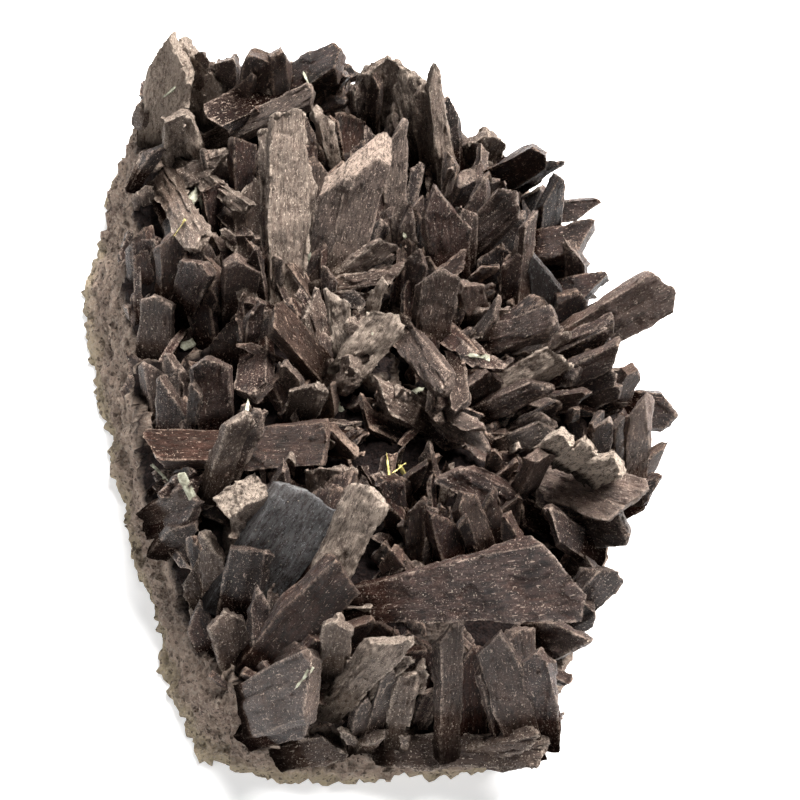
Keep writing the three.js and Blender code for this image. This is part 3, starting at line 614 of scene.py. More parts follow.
def join_up(name, blades, slot, *nodes):
    """Joins the crystals of one cluster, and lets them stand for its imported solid."""
    bpy.ops.object.select_all(action="DESELECT")
    for blade in blades:
        blade.select_set(True)
    bpy.context.view_layer.objects.active = blades[0]
    if len(blades) > 1:
        bpy.ops.object.join()
    piece = blades[0]
    only(piece)
    bpy.ops.object.shade_smooth_by_angle(angle=SMOOTH_BELOW)
    piece.name = name
    piece.data.name = name
    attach(piece, "root")
    if nodes:
        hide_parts(*nodes)
    return piece


# %% [markdown]
# ## Clusters and their companions
#
# The big crystals are listed one by one, by the pixels of their root and tip, in the clusters
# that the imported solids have. Real crystals grow in sub-parallel bundles, so each also gets a few
# thinner, shorter companions beside and behind it. They are drawn from a seeded chance, stay in
# its shadow, and close the gaps without changing what the photograph shows in front.

# %% Clusters
COMPANIONS = 3
NARROWEST = 1.5
THINNEST = 1.0
ROOTS = []
LOW_RIM = 6.0
ABOVE_ALL = 90
BOX_MARGIN = 1
HIGHEST_FOOT = 5


def shape_of(solid):
    """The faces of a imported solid, for lines that have to find them."""
    spots = [solid.matrix_world @ corner.co for corner in solid.data.vertices]
    return BVHTree.FromPolygons(spots, [tuple(face.vertices) for face in solid.data.polygons])


ROCK_SHAPE = shape_of(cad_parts["matrix"])

# The outline of the specimen in the photograph, clockwise from its upper left peak.
OUTLINE = [
    (172, 34), (203, 44), (236, 58), (253, 49), (284, 49), (345, 53), (391, 55), (420, 70),
    (441, 88), (462, 122), (495, 131), (548, 139), (562, 163), (562, 200), (604, 200), (600, 226),
    (592, 252), (608, 276), (622, 292), (645, 275), (678, 290), (617, 341), (646, 376), (686, 412),
    (663, 436), (670, 480), (653, 503), (634, 548), (600, 605), (585, 622), (596, 639), (567, 664),
    (557, 690), (566, 717), (548, 745), (545, 760), (455, 768), (330, 772), (240, 768), (192, 752),
    (166, 678), (163, 600), (146, 560), (131, 495), (115, 430), (108, 370), (94, 325), (90, 285),
    (110, 243), (124, 200), (127, 160), (134, 108), (148, 75), (162, 45),
]
OUTLINE_MARGIN = 5


def pixel_of(point):
    """Where a point in mm lies in the picture, the inverse of seen()."""
    away = -TOWARDS_EYE
    right = away.cross(Vector((0, 0, 1))).normalized()
    up = right.cross(away)
    offset = point - EYE
    zoom = FOCAL_PIXELS / offset.dot(away)
    return PICTURE / 2 + zoom * offset.dot(right), PICTURE / 2 - zoom * offset.dot(up)


def in_outline(column, row):
    """Counts how often a line to the left crosses the outline."""
    crossings = 0
    for (x1, y1), (x2, y2) in zip(OUTLINE, OUTLINE[1:] + OUTLINE[:1]):
        if (y1 > row) != (y2 > row) and x1 + (row - y1) * (x2 - x1) / (y2 - y1) < column:
            crossings += 1
    return crossings % 2 == 1


def has_room(foot, tip):
    """True over the top of the rock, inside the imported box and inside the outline."""
    for point in (foot, tip):
        column, row = pixel_of(point)
        for right, down in ((1, 0), (-1, 0), (0, 1), (0, -1)):
            if not in_outline(column + right * OUTLINE_MARGIN, row + down * OUTLINE_MARGIN):
                return False
    above = Vector((foot.x, foot.y, ABOVE_ALL)) * MM
    spot, _, _, _ = ROCK_SHAPE.ray_cast(above, Vector((0, 0, -1)))
    if spot is None:
        return False
    low, high = (corner / MM for corner in CAD_BOX)
    inside = all(low[i] + BOX_MARGIN < tip[i] < high[i] - BOX_MARGIN for i in range(2))
    ground = spot.z / MM
    return ground > LOW_RIM and foot.z < ground + HIGHEST_FOOT and inside and LOW_RIM < tip.z < high.z


def companions(name, many, root, tip, wide, thick, finish, roll=0, **_):
    """Thinner crystals beside and behind one big one."""
    chance = random.Random(name + "_companions")
    across, face, along = directions(root, tip, roll)
    length = (tip - root).length
    blades = []
    for number in range(many):
        side = chance.choice((-1, 1)) * chance.uniform(0.35, 0.75) * wide
        behind = chance.uniform(0.5, 1.5) * thick + 0.6
        foot = root + across * side - face * behind - along * chance.uniform(0, 2)
        reach = length * chance.uniform(0.6, 0.88)
        outwards = math.copysign(chance.uniform(0, 0.16), side)
        lean_out = across * outwards - face * chance.uniform(0, 0.16)
        slim = max(NARROWEST, wide * chance.uniform(0.45, 0.85))
        top = foot + (along + lean_out) * reach
        if not has_room(foot, top):
            continue
        flat = max(THINNEST, slim * chance.uniform(0.4, 0.7))
        turn = roll + chance.uniform(-40, 40)
        skin = chance.choice(("maroon", "speckled", finish))
        blades.append(cut_crystal(f"{name}_companion_{number + 1}", foot, top, slim, flat,
                                  roll=turn, finish=skin, cell=FILLER_CELL))
    return blades


def cluster(node, slot, *crystals, **shared):
    """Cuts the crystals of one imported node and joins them."""
    blades = []
    for number, crystal in enumerate(crystals):
        row = {**shared, **crystal}
        root, tip = seen(*row.pop("root")), seen(*row.pop("tip"))
        many = row.pop("friends", COMPANIONS)
        ROOTS.append((root, tip))
        name = f"{node}_{number + 1}"
        blades.append(cut_crystal(name, root, tip, **row))
        blades += companions(name, many, root, tip, **row)
    piece = join_up(f"{node}_crystals", blades, slot, node)
    print(f"{node}: {len(blades)} crystals, {len(piece.data.polygons)} faces")
    return piece


# %% [markdown]
# ## Front blade
#
# The largest crystal lies low across the front, narrow at its root and broad at a rough, pale
# end. One blade with a small neck gives the taper, and a big slant on one side of its end gives
# the broken upper corner. Nothing may hide it, so it has no companions.

# %% Front blade
cluster(
    "front_blade", "brown_crystal",
    dict(root=(352, 604, 27), tip=(593, 570, 48),
         wide=12.8, thick=4.6, roll=-6, neck=0.36, end=(0.45, 4.6, 1.0), cap=0.9, root_shade=0.3),
    finish="speckled", friends=0,
)

# %% [markdown]
# ## Tall pale blade
#
# A long weathered lath stands behind the middle, with a split right arm and thin slivers at its
# side. They are separate blades side by side, because the notch between them is deep.

# %% Tall pale blade
cluster(
    "tall_pale_blade", "pale_crystal",
    dict(root=(284, 320, 20), tip=(294, 102, 45),
         wide=8.8, thick=2.7, roll=4, neck=0.6, end=(0.5, 1.6, 0.8), pale=0.4, root_shade=0.3),
    dict(root=(266, 250, 24), tip=(264, 124, 39), wide=2, thick=2.5, roll=-10, end=(0.2, 1, 0.4)),
    dict(root=(302, 300, 20), tip=(308, 160, 37), wide=3.2, thick=2.5, roll=22, end=(-0.2, 1, 3)),
    dict(root=(334, 162, 30), tip=(318, 104, 41), wide=3, thick=2.2, roll=10, end=(-0.2, 0.6, 2)),
    dict(root=(258, 296, 18), tip=(256, 196, 31),
         wide=5, thick=3.4, roll=18, end=(0.3, 2, 1), finish="maroon"),
    finish="weathered", pale=0.25,
)

# %% [markdown]
# ## Fan wedges
#
# Three broad wedges fan out behind the middle. Their ends are cut by planes that lean towards
# the viewer, so that the ends show as bright facets. Darker blades behind them close the fan.

# %% Fan wedges
cluster(
    "fan_wedges", "brown_crystal",
    dict(root=(312, 300, 20), tip=(350, 146, 42),
         wide=6.7, thick=3.9, roll=-14, neck=0.7, lean=4.5, end=(0.5, 4, 0.4), cap=1.2, tone=0.55),
    dict(root=(334, 302, 20), tip=(375, 130, 44),
         wide=7.2, thick=3.7, roll=8, neck=0.8, lean=4.5, end=(0.4, 3.6, 1), cap=1.2, tone=0.55),
    dict(root=(388, 268, 20), tip=(400, 111, 43),
         wide=4.9, thick=2.9, roll=16, end=(0.3, 4, 1.2), cap=0.7, pale=0.2),
    dict(root=(404, 266, 24), tip=(410, 197, 37), wide=3.6, thick=2.2, roll=10, end=(0, 5, 5)),
    dict(root=(326, 270, 17), tip=(328, 150, 30),
         wide=5, thick=3.4, roll=10, end=(0.3, 2, 1), finish="maroon"),
    dict(root=(348, 190, 18), tip=(346, 108, 28), wide=7, thick=4.2, end=(-0.2, 1, 1), finish="maroon"),
    dict(root=(378, 262, 18), tip=(386, 188, 31),
         wide=6, thick=3.4, roll=20, end=(0.4, 2, 1), finish="maroon"),
    dict(root=(428, 272, 18), tip=(424, 200, 30),
         wide=5, thick=3.4, roll=-14, end=(0, 1.6, 1), finish="maroon"),
    finish="speckled", pale=0.1,
)

# %% [markdown]
# ## Kite crystal
#
# One crystal shows the whole kite outline of axinite. Long drops on both sides of its ridge give
# the pointed end, and a small lean keeps the ridge sharp.

# %% Kite crystal
cluster(
    "kite_crystal", "brown_crystal",
    dict(root=(448, 280, 25), tip=(442, 178, 44),
         wide=8.6, thick=3.6, roll=4, neck=0.72, lean=-1.2, end=(-0.3, 5, 6), tone=1.9),
    finish="speckled", cap=0.0,
)

# %% [markdown]
# ## Mirror plate
#
# A broad plate with a bluish grey sheen, striated along its length, beside a duller one. The
# sheen is painted: a smoother finish with grey streaks in its colour stands in for the reflection.

# %% Mirror plate
cluster(
    "mirror_plate", "dark_crystal",
    # The pale value draws the painted sheen as grey streaks along the plate.
    dict(root=(240, 606, 19), tip=(318, 487, 38),
         wide=11.6, thick=3.6, roll=10, neck=0.9, end=(-0.2, 1.0, 0.8), pale=0.25, root_shade=0.75),
    dict(root=(238, 612, 19), tip=(256, 538, 34),
         wide=7.4, thick=3.4, roll=-10, end=(0.5, 1.6, 0.6), finish="speckled"),
    dict(root=(334, 508, 27), tip=(328, 461, 36),
         wide=8.2, thick=2.2, roll=-6, end=(0.4, 0.4, 0.4), finish="weathered", pale=0.2),
    finish="painted_sheen",
)

# %% [markdown]
# ## Pale long plate
#
# A grainy pale plate stands on a dark red one of the same direction. Two blades meet, because
# the colour changes at a step in the real crystal.

# %% Pale long plate
cluster(
    "pale_long_plate", "pale_crystal",
    dict(root=(312, 618, 25), tip=(374, 482, 43),
         wide=6.5, thick=3.2, roll=-12, end=(0.1, 0.8, 1.2), pale=0.45, root_shade=0.4, cap=0.6),
    dict(root=(262, 664, 17), tip=(350, 556, 37),
         wide=8.3, thick=3.9, roll=6, end=(-0.4, 1, 2), finish="maroon", root_shade=0.2),
    finish="weathered", pale=0.1,
)

# %% [markdown]
# ## Pillar
#
# A short weathered pillar turned on its axis, so that an edge faces the viewer.

# %% Pillar
cluster(
    "pillar", "brown_crystal",
    dict(root=(214, 488, 27), tip=(244, 408, 42),
         wide=4.7, thick=3.1, roll=28, end=(0.2, 1.6, 1.2), pale=0.1),
    finish="weathered",
)

# %% [markdown]
# ## Bright stub
#
# A broken stub whose end is the palest spot at the left. The end plane leans towards the viewer
# and the cap value makes it bare.

# %% Bright stub
cluster(
    "bright_stub", "pale_crystal",
    dict(root=(262, 531, 22), tip=(238, 492, 39),
         wide=7.6, thick=4.4, roll=6, lean=2.5, end=(0, 0.2, 0.2), cap=0.6, root_shade=0.3),
    finish="weathered", pale=0.35,
)

# %% [markdown]
# ## Left bar
#
# A dark bar lies almost level and points to the left rim. It is cut like the others and only its
# root and tip are nearly at one height.

# %% Left bar
cluster(
    "left_bar", "dark_crystal",
    dict(root=(232, 450, 24), tip=(137, 447, 31),
         wide=6.7, thick=3.9, roll=24, end=(0.3, 1.6, 0.6), root_shade=0.2),
    finish="maroon",
)

# %% [markdown]
# ## Centre bar
#
# Its partner points to the middle, with a pale upright edge at its end made by a thin blade.

# %% Centre bar
cluster(
    "centre_bar", "dark_crystal",
    dict(root=(240, 450, 23), tip=(338, 439, 34),
         wide=7.9, thick=4.6, roll=-16, end=(0, 0.4, 0.4), root_shade=0.2),
    dict(root=(322, 440, 26), tip=(354, 440, 33),
         wide=5.7, thick=2.5, roll=24, end=(0.6, 1.4, 0), cap=0.9),
    dict(root=(300, 506, 18), tip=(286, 452, 29),
         wide=7, thick=3.4, roll=16, end=(0.2, 1, 2)),
    finish="maroon",
)

# %% [markdown]
# ## Arch crystal
#
# A red brown crystal leans to the upper left over a dark hollow.

# %% Arch crystal
cluster(
    "arch_crystal", "dark_crystal",
    dict(root=(330, 380, 20), tip=(268, 305, 35), wide=6.2, thick=3.1, roll=32, end=(0.1, 1.4, 0.6)),
    dict(root=(302, 420, 18), tip=(276, 366, 29),
         wide=6.4, thick=3.4, roll=12, end=(0.2, 1, 2)),
    finish="maroon",
)

# %% [markdown]
# ## Scrappy plate
#
# Thin pale plates cross each other in the middle like torn card. Each is a thin blade, worn by
# the deepest of the reliefs.

# %% Scrappy plate
cluster(
    "scrappy_plate", "pale_crystal",
    dict(root=(352, 366, 28), tip=(394, 309, 36),
         wide=6.7, thick=2, roll=6, end=(0.3, 1.4, 1), pale=0.5, root_shade=0.1),
    dict(root=(371, 314, 31), tip=(380, 276, 37), wide=2.6, thick=1.7, pale=0.5),
    dict(root=(344, 346, 28), tip=(334, 284, 36),
         wide=4.5, thick=1.7, roll=-8, end=(-0.6, 0.4, 2.4), pale=0.5, root_shade=0.1),
    dict(root=(318, 290, 24), tip=(412, 270, 32), wide=3.2, thick=2.2, roll=-12),
    dict(root=(330, 284, 24), tip=(398, 236, 34), wide=3.5, thick=2.5, roll=20),
    dict(root=(326, 352, 20), tip=(304, 284, 31), wide=5.7, thick=3.4, roll=20),
    dict(root=(334, 310, 18), tip=(334, 232, 30),
         wide=6, thick=3.4, roll=12, end=(0, 2, 1), finish="maroon"),
    finish="weathered",
)

# %% [markdown]
# ## Centre plank
#
# Planks run down to the right from the middle, with splinters on top of them.

# %% Centre plank
cluster(
    "centre_plank", "brown_crystal",
    dict(root=(390, 314, 22), tip=(450, 396, 36), wide=5.5, thick=3.4, roll=14, end=(0.2, 1, 2)),
    dict(root=(455, 362, 27), tip=(463, 417, 35), wide=3.7, thick=2.2, roll=-8),
    dict(root=(412, 398, 22), tip=(497, 447, 32), wide=4.5, thick=2, roll=10, end=(0.5, 3, 1)),
    dict(root=(420, 398, 25), tip=(485, 433, 34), wide=2.5, thick=1.7, roll=-8, end=(-0.4, 0.4, 1.4)),
    dict(root=(430, 402, 17), tip=(416, 332, 27),
         wide=6.4, thick=3.4, roll=16, finish="maroon"),
    finish="speckled", pale=0.1,
)

# %% [markdown]
# ## Grey blade
#
# One slanting blade with its end cut off obliquely, right of the dark hollow.

# %% Grey blade
cluster(
    "grey_blade", "brown_crystal",
    dict(root=(548, 522, 19), tip=(439, 464, 31), wide=5.5, thick=2.9, roll=-28, end=(-0.7, 0.6, 2.4)),
    finish="speckled",
)

# %% [markdown]
# ## Grainy plate
#
# A group of plates that all point to the upper right. The foremost one is pale and grainy.

# %% Grainy plate
cluster(
    "grainy_plate", "pale_crystal",
    dict(root=(480, 402, 20), tip=(574, 349, 35),
         wide=5.2, thick=3.2, roll=-16, pale=0.55, finish="weathered"),
    dict(root=(470, 418, 20), tip=(556, 380, 31), wide=4, thick=2.9, roll=8),
    dict(root=(494, 450, 20), tip=(566, 424, 31), wide=4.5, thick=3.1, roll=-16),
    dict(root=(540, 404, 20), tip=(596, 400, 31), wide=4, thick=2.5, roll=12),
    dict(root=(478, 346, 22), tip=(566, 318, 36), wide=5.6, thick=3.7, roll=-22, end=(0.2, 0.8, 2)),
    dict(root=(474, 316, 22), tip=(465, 276, 33), wide=5.5, thick=2.9, roll=14, end=(-0.3, 1, 1.4)),
    dict(root=(472, 322, 22), tip=(507, 300, 31), wide=3.2, thick=2.5, roll=10),
    dict(root=(482, 404, 20), tip=(482, 366, 31), wide=6.7, thick=2.9, roll=8, end=(0.2, 1.4, 2)),
    dict(root=(470, 446, 15), tip=(536, 446, 24),
         wide=6, thick=3.4, roll=10, finish="maroon"),
    finish="speckled", pale=0.1,
)

# %% [markdown]
# ## Stepped block
#
# A broad block whose upper edge breaks into three cream steps, the brightest faces at the
# right. The steps are short pale blades laid on the block, and a pointed spear stands behind.

# %% Stepped block
cluster(
    "stepped_block", "pale_crystal",
    dict(root=(512, 464, 20), tip=(652, 506, 33),
         wide=8.6, thick=5.1, roll=-14, end=(-0.4, 1.2, 2.4), root_shade=0.2, pale=0.3, tone=1.5),
    dict(root=(546, 449, 32), tip=(571, 434, 39),
         wide=3.0, thick=2.5, neck=1, end=(0, 0, 0.3), finish="weathered", pale=1, root_shade=0.1),
    dict(root=(568, 460, 32), tip=(596, 443, 40),
         wide=3.8, thick=2.5, neck=1, roll=8, end=(0, 0, 0.3), finish="weathered", pale=1, root_shade=0.1),
    dict(root=(592, 474, 31), tip=(624, 458, 39),
         wide=4.4, thick=2.9, neck=1, roll=-6, end=(0, 0, 0.4), finish="weathered", pale=1, root_shade=0.1),
    dict(root=(560, 526, 17), tip=(640, 532, 27), wide=6.7, thick=5.1, roll=12, end=(0, 0.8, 0.8)),
    dict(root=(517, 502, 20), tip=(546, 446, 36),
         wide=4.7, thick=3.1, roll=38, end=(0, 0.8, 0.8), pale=0.1),
    dict(root=(634, 492, 20), tip=(643, 386, 39),
         wide=4.2, thick=2.5, roll=-10, end=(0.3, 3.4, 1.6), pale=0.1),
    dict(root=(618, 470, 20), tip=(622, 410, 32), wide=3.6, thick=2.5, roll=15, end=(0, 1.5, 1.5)),
    dict(root=(600, 462, 22), tip=(604, 415, 38),
         wide=3.5, thick=2.2, roll=-20, end=(0.4, 1.2, 0.4), cap=0.8),
    finish="speckled",
)

# %% [markdown]
# ## East paddle
#
# A flat paddle sticks out furthest to the right, above a row of shorter blades.

# %% East paddle
cluster(
    "east_paddle", "brown_crystal",
    dict(root=(552, 354, 16), tip=(678, 281, 33),
         wide=8.0, thick=3.9, roll=8, end=(0.1, 1.4, 1.6), tone=1.9, pale=0.15),
    dict(root=(566, 352, 18), tip=(617, 336, 28), wide=4.5, thick=3.1, roll=-10, end=(-0.4, 0.6, 1)),
    dict(root=(540, 388, 20), tip=(634, 348, 34), wide=4.7, thick=3.7, roll=12, end=(-0.9, 0.4, 3)),
    dict(root=(548, 402, 18), tip=(622, 372, 29), wide=4.2, thick=2.9, end=(0, 1, 1)),
    dict(root=(572, 410, 17), tip=(626, 384, 28), wide=3.2, thick=2.5, end=(0, 1, 1)),
    dict(root=(566, 338, 14), tip=(616, 308, 24),
         wide=6, thick=3.4, roll=-16, end=(0.2, 1, 1), finish="maroon"),
    finish="speckled",
)

# %% [markdown]
# ## Organ pipes
#
# Short dark prisms stand in a row behind the front blade, with broken pale ends.

# %% Organ pipes
cluster(
    "organ_pipes", "dark_crystal",
    dict(root=(413, 574, 21), tip=(416, 491, 35), wide=3.2, thick=2.5, roll=-10),
    dict(root=(455, 566, 21), tip=(433, 499, 36), wide=4.8, thick=2.9, roll=12),
    dict(root=(486, 556, 21), tip=(457, 487, 36), wide=4.5, thick=2.7, roll=14, end=(0.1, 2.2, 1.8)),
    dict(root=(474, 552, 22), tip=(460, 514, 35), wide=2.1, thick=1.7, roll=-10),
    dict(root=(410, 590, 24), tip=(380, 544, 35), wide=4.5, thick=2.7, roll=-30),
    dict(root=(401, 524, 24), tip=(384, 471, 39), wide=4.2, thick=2.5, roll=18, end=(-0.3, 0.6, 1.6)),
    dict(root=(396, 528, 24), tip=(388, 494, 36), wide=3.7, thick=2.2, roll=-20),
    dict(root=(402, 496, 22), tip=(423, 456, 33), wide=3.1, thick=2.2, roll=18),
    dict(root=(416, 498, 22), tip=(441, 453, 33), wide=2.7, thick=2, roll=-14),
    dict(root=(516, 552, 21), tip=(518, 513, 33), wide=4.5, thick=2.9, roll=-32),
    dict(root=(482, 552, 18), tip=(490, 500, 27), wide=5.2, thick=2.5, roll=24),
    finish="maroon",
)

# %% [markdown]
# ## Round tips
#
# Two crystals with rounded worn tips.

# %% Round tips
cluster(
    "round_tips", "brown_crystal",
    dict(root=(410, 304, 25), tip=(421, 243, 37), wide=4.3, thick=2.5, roll=-12, end=(0, 2.4, 2.4)),
    dict(root=(430, 346, 24), tip=(437, 263, 38), wide=7.4, thick=2.5, roll=6, end=(0.2, 2.4, 1.2)),
    finish="speckled",
)

# %% [markdown]
# ## Broad pair
#
# Two broad blades cross behind the kite, with narrow ones in front of them.

# %% Broad pair
cluster(
    "broad_pair", "brown_crystal",
    dict(root=(462, 256, 23), tip=(523, 190, 37), wide=6.7, thick=3.4, roll=-8, end=(-0.1, 1.6, 2)),
    dict(root=(470, 240, 20), tip=(506, 176, 32), wide=5, thick=2.9, roll=14, end=(0, 1, 1.4)),
    dict(root=(452, 220, 24), tip=(478, 166, 37),
         wide=4.5, thick=2.7, roll=24, lean=2.5, end=(0.2, 1.2, 1.6), cap=0.8),
    dict(root=(519, 314, 21), tip=(530, 206, 38), wide=2.9, thick=2.5, roll=26),
    dict(root=(508, 306, 21), tip=(514, 248, 33), wide=4.2, thick=2.5, roll=-10, end=(0.4, 2, 0.6)),
    dict(root=(552, 316, 18), tip=(539, 248, 33),
         wide=6.4, thick=2.5, roll=-14, end=(-0.3, 3, 6), finish="painted_sheen"),
    dict(root=(482, 262, 17), tip=(470, 190, 29),
         wide=6, thick=3.4, roll=12, end=(0.1, 1, 2), finish="maroon"),
    dict(root=(500, 308, 17), tip=(494, 240, 29),
         wide=7, thick=3.4, roll=-12, end=(0.2, 2, 1), finish="maroon"),
    finish="speckled",
)

# %% [markdown]
# ## Centre lumps
#
# Short weathered lumps at the rim of the dark hollow.

# %% Centre lumps
cluster(
    "centre_lumps", "brown_crystal",
    dict(root=(298, 424, 22), tip=(314, 377, 35), wide=6.2, thick=2.5, roll=-6, end=(0.2, 2.6, 0.6)),
    dict(root=(326, 378, 20), tip=(359, 374, 31), wide=6.2, thick=3.9, roll=-24, end=(-0.2, 0.8, 1.4)),
    dict(root=(432, 428, 22), tip=(365, 384, 34), wide=4.5, thick=2.5, roll=10),
    dict(root=(414, 408, 24), tip=(402, 380, 33), wide=4.7, thick=2.2, roll=10),
    finish="weathered",
)

# %% [markdown]
# ## Corner plate
#
# A bent pale plate at the upper left, made of blades that meet at an angle, over a dark hollow.

# %% Corner plate
cluster(
    "corner_plate", "pale_crystal",
    dict(root=(168, 188, 26), tip=(204, 250, 34), wide=5, thick=3.1, roll=10, neck=1, end=(0.3, 1, 1.4)),
    dict(root=(160, 188, 22), tip=(234, 160, 32), wide=4.5, thick=2.5, roll=-14),
    dict(root=(182, 164, 24), tip=(254, 214, 33), wide=3, thick=2.2, roll=16),
    dict(root=(248, 254, 22), tip=(216, 230, 31), wide=2.7, thick=1.9, roll=-10),
    dict(root=(226, 246, 19), tip=(214, 176, 31),
         wide=6.4, thick=3.4, roll=12, end=(0.2, 1, 1.6), finish="maroon"),
    finish="weathered", pale=0.1,
)

# %% [markdown]
# ## North block
#
# Dark stubby crystals and two long bars close the upper rim.

# %% North block
cluster(
    "north_block", "dark_crystal",
    dict(root=(256, 116, 22), tip=(256, 45, 40), wide=5.6, thick=4.4, neck=1.1, end=(-0.4, 2.5, 0.5)),
    dict(root=(284, 108, 24), tip=(279, 44, 40),
         wide=3.8, thick=3.6, roll=12, neck=1.2, end=(0.2, 0.4, 2)),
    dict(root=(232, 132, 20), tip=(243, 62, 37), wide=5.5, thick=3.6, neck=1.2, end=(0.7, 4, 0.4)),
    dict(root=(280, 92, 26), tip=(350, 54, 39),
         wide=6.6, thick=4.2, roll=-20, neck=1, end=(-0.3, 1, 1.5)),
    dict(root=(312, 102, 23), tip=(353, 78, 34), wide=3.7, thick=2.5, roll=15),
    dict(root=(290, 84, 28), tip=(204, 124, 31),
         wide=6.4, thick=3.9, roll=10, neck=1, end=(0.2, 1, 1), root_shade=0.9, finish="speckled", tone=0.4),
    dict(root=(203, 147, 22), tip=(320, 92, 37),
         wide=3.9, thick=3.1, roll=-15, neck=1, end=(-0.3, 0.6, 0.6), finish="speckled", pale=0.25),
    finish="maroon",
)

# %% [markdown]
# ## North dome
#
# A domed fan of plates at the top, dark on its left and rough and pale on its right.

# %% North dome
cluster(
    "north_dome", "brown_crystal",
    dict(root=(392, 128, 20), tip=(388, 50, 39),
         wide=11.6, thick=3.4, neck=1, end=(0, 2.4, 2.6), pale=0.1),
    dict(root=(368, 134, 22), tip=(362, 60, 36),
         wide=5.6, thick=3.4, roll=20, neck=1, end=(0.3, 2.5, 0.6)),
    dict(root=(372, 128, 24), tip=(376, 66, 38),
         wide=2.6, thick=3, roll=-24, end=(0, 3, 1.5), finish="maroon"),
    dict(root=(426, 148, 24), tip=(404, 66, 39),
         wide=6.2, thick=2.5, roll=-10, neck=1, end=(-0.2, 2, 1.5), pale=0.25),
    dict(root=(443, 184, 20), tip=(431, 56, 43),
         wide=3.9, thick=4.2, roll=15, neck=1, end=(0.1, 3, 2), pale=0.2),
    dict(root=(430, 170, 20), tip=(419, 80, 39),
         wide=3.2, thick=3.4, roll=-15, neck=1, end=(0, 2, 1), pale=0.2),
    dict(root=(450, 168, 18), tip=(453, 88, 33),
         wide=3.7, thick=3.4, neck=1, end=(-0.4, 0.6, 3), finish="speckled"),
    finish="weathered",
)

# %% [markdown]
# ## Corner peak
#
# The peak at the upper left corner: a craggy pale blade with a ridge that falls to the right,
# and rough fins down the rim below it.

# %% Corner peak
cluster(
    "corner_peak", "pale_crystal",
    dict(root=(160, 134, 19), tip=(173, 30, 42),
         wide=8.6, thick=4.2, neck=1.1, lean=-1.5, end=(0.0, 5.5, 4), pale=0.65, root_shade=0.2, tone=1.7),
    dict(root=(208, 114, 22), tip=(202, 38, 38),
         wide=8.2, thick=4, roll=-8, neck=1.1, lean=-1.5, end=(-0.75, 0.3, 4.5), pale=0.4),
    dict(root=(229, 104, 22), tip=(231, 50, 37),
         wide=5, thick=3.4, neck=1.1, end=(0.3, 1, 2), finish="speckled"),
    dict(root=(196, 92, 27), tip=(205, 44, 37), wide=5, thick=3, end=(0, 1.5, 1.5)),
    dict(root=(179, 168, 20), tip=(178, 106, 36),
         wide=5.7, thick=3.9, roll=16, end=(0.2, 0.8, 0.4), pale=0.4),
    dict(root=(200, 158, 24), tip=(184, 112, 36), wide=2.0, thick=2.5, roll=-8, pale=0.3),
    dict(root=(163, 128, 14), tip=(142, 102, 27),
         wide=8.4, thick=4.2, roll=8, neck=1, end=(-0.2, 1.5, 1.6)),
    dict(root=(150, 196, 13), tip=(139, 146, 22), wide=5, thick=4.2, roll=18, neck=1.1, end=(0, 2, 2)),
    dict(root=(152, 236, 13), tip=(146, 180, 24), wide=5, thick=3.4, roll=-14, neck=1, end=(0.3, 2, 1)),
    dict(root=(247, 218, 20), tip=(238, 130, 36),
         wide=5.5, thick=2.9, roll=26, end=(-0.4, 1, 1.6), finish="maroon"),
    finish="weathered",
)

# %% [markdown]
# ## Mid west block
#
# Blocky crystals in the left half, with fins at the rim.

# %% Mid west block
cluster(
    "mid_west_block", "brown_crystal",
    dict(root=(236, 312, 20), tip=(243, 252, 36), wide=6.7, thick=3.7, roll=14, end=(-0.3, 1, 1.4)),
    dict(root=(262, 304, 22), tip=(250, 243, 37), wide=2.7, thick=2.5, roll=-16),
    dict(root=(182, 308, 20), tip=(202, 256, 35), wide=6.2, thick=2.9, roll=-8, end=(0.3, 1.4, 0.8)),
    dict(root=(156, 356, 16), tip=(156, 288, 28),
         wide=6.2, thick=3.7, roll=-12, neck=1, end=(0, 1.6, 0.6)),
    dict(root=(172, 300, 18), tip=(168, 226, 32),
         wide=5.4, thick=3.2, roll=20, end=(0.3, 2, 1), finish="maroon"),
    dict(root=(206, 330, 17), tip=(212, 250, 31),
         wide=5, thick=3.2, roll=-16, end=(-0.2, 2, 2), finish="maroon"),
    dict(root=(146, 300, 14), tip=(140, 226, 26), wide=6, thick=3.6, roll=10, neck=1, end=(0.2, 2, 1)),
    dict(root=(230, 366, 17), tip=(222, 300, 29),
         wide=7, thick=3.4, roll=-14, finish="maroon"),
    finish="speckled",
)

# %% [markdown]
# ## West pair
#
# A pair of broad dark crystals above the left bar.

# %% West pair
cluster(
    "west_pair", "dark_crystal",
    dict(root=(216, 436, 20), tip=(210, 351, 37), wide=6.9, thick=3.4, roll=8, end=(-0.2, 1.2, 1.4)),
    dict(root=(191, 434, 20), tip=(199, 380, 34), wide=2, thick=2.5, roll=-10),
    dict(root=(178, 440, 17), tip=(180, 374, 32),
         wide=7.2, thick=3.7, roll=-12, neck=1),
    dict(root=(166, 416, 13), tip=(154, 352, 24), wide=6, thick=4.2, roll=10, neck=1),
    dict(root=(256, 342, 21), tip=(253, 404, 30), wide=6.4, thick=3.4, roll=10, end=(0, 1.4, 1.8)),
    dict(root=(250, 352, 22), tip=(257, 297, 34), wide=3, thick=2.5, roll=20),
    finish="speckled",
)

# %% [markdown]
# ## West nest
#
# A nest of small blades at the lower left, some of them weathered like the rock below.

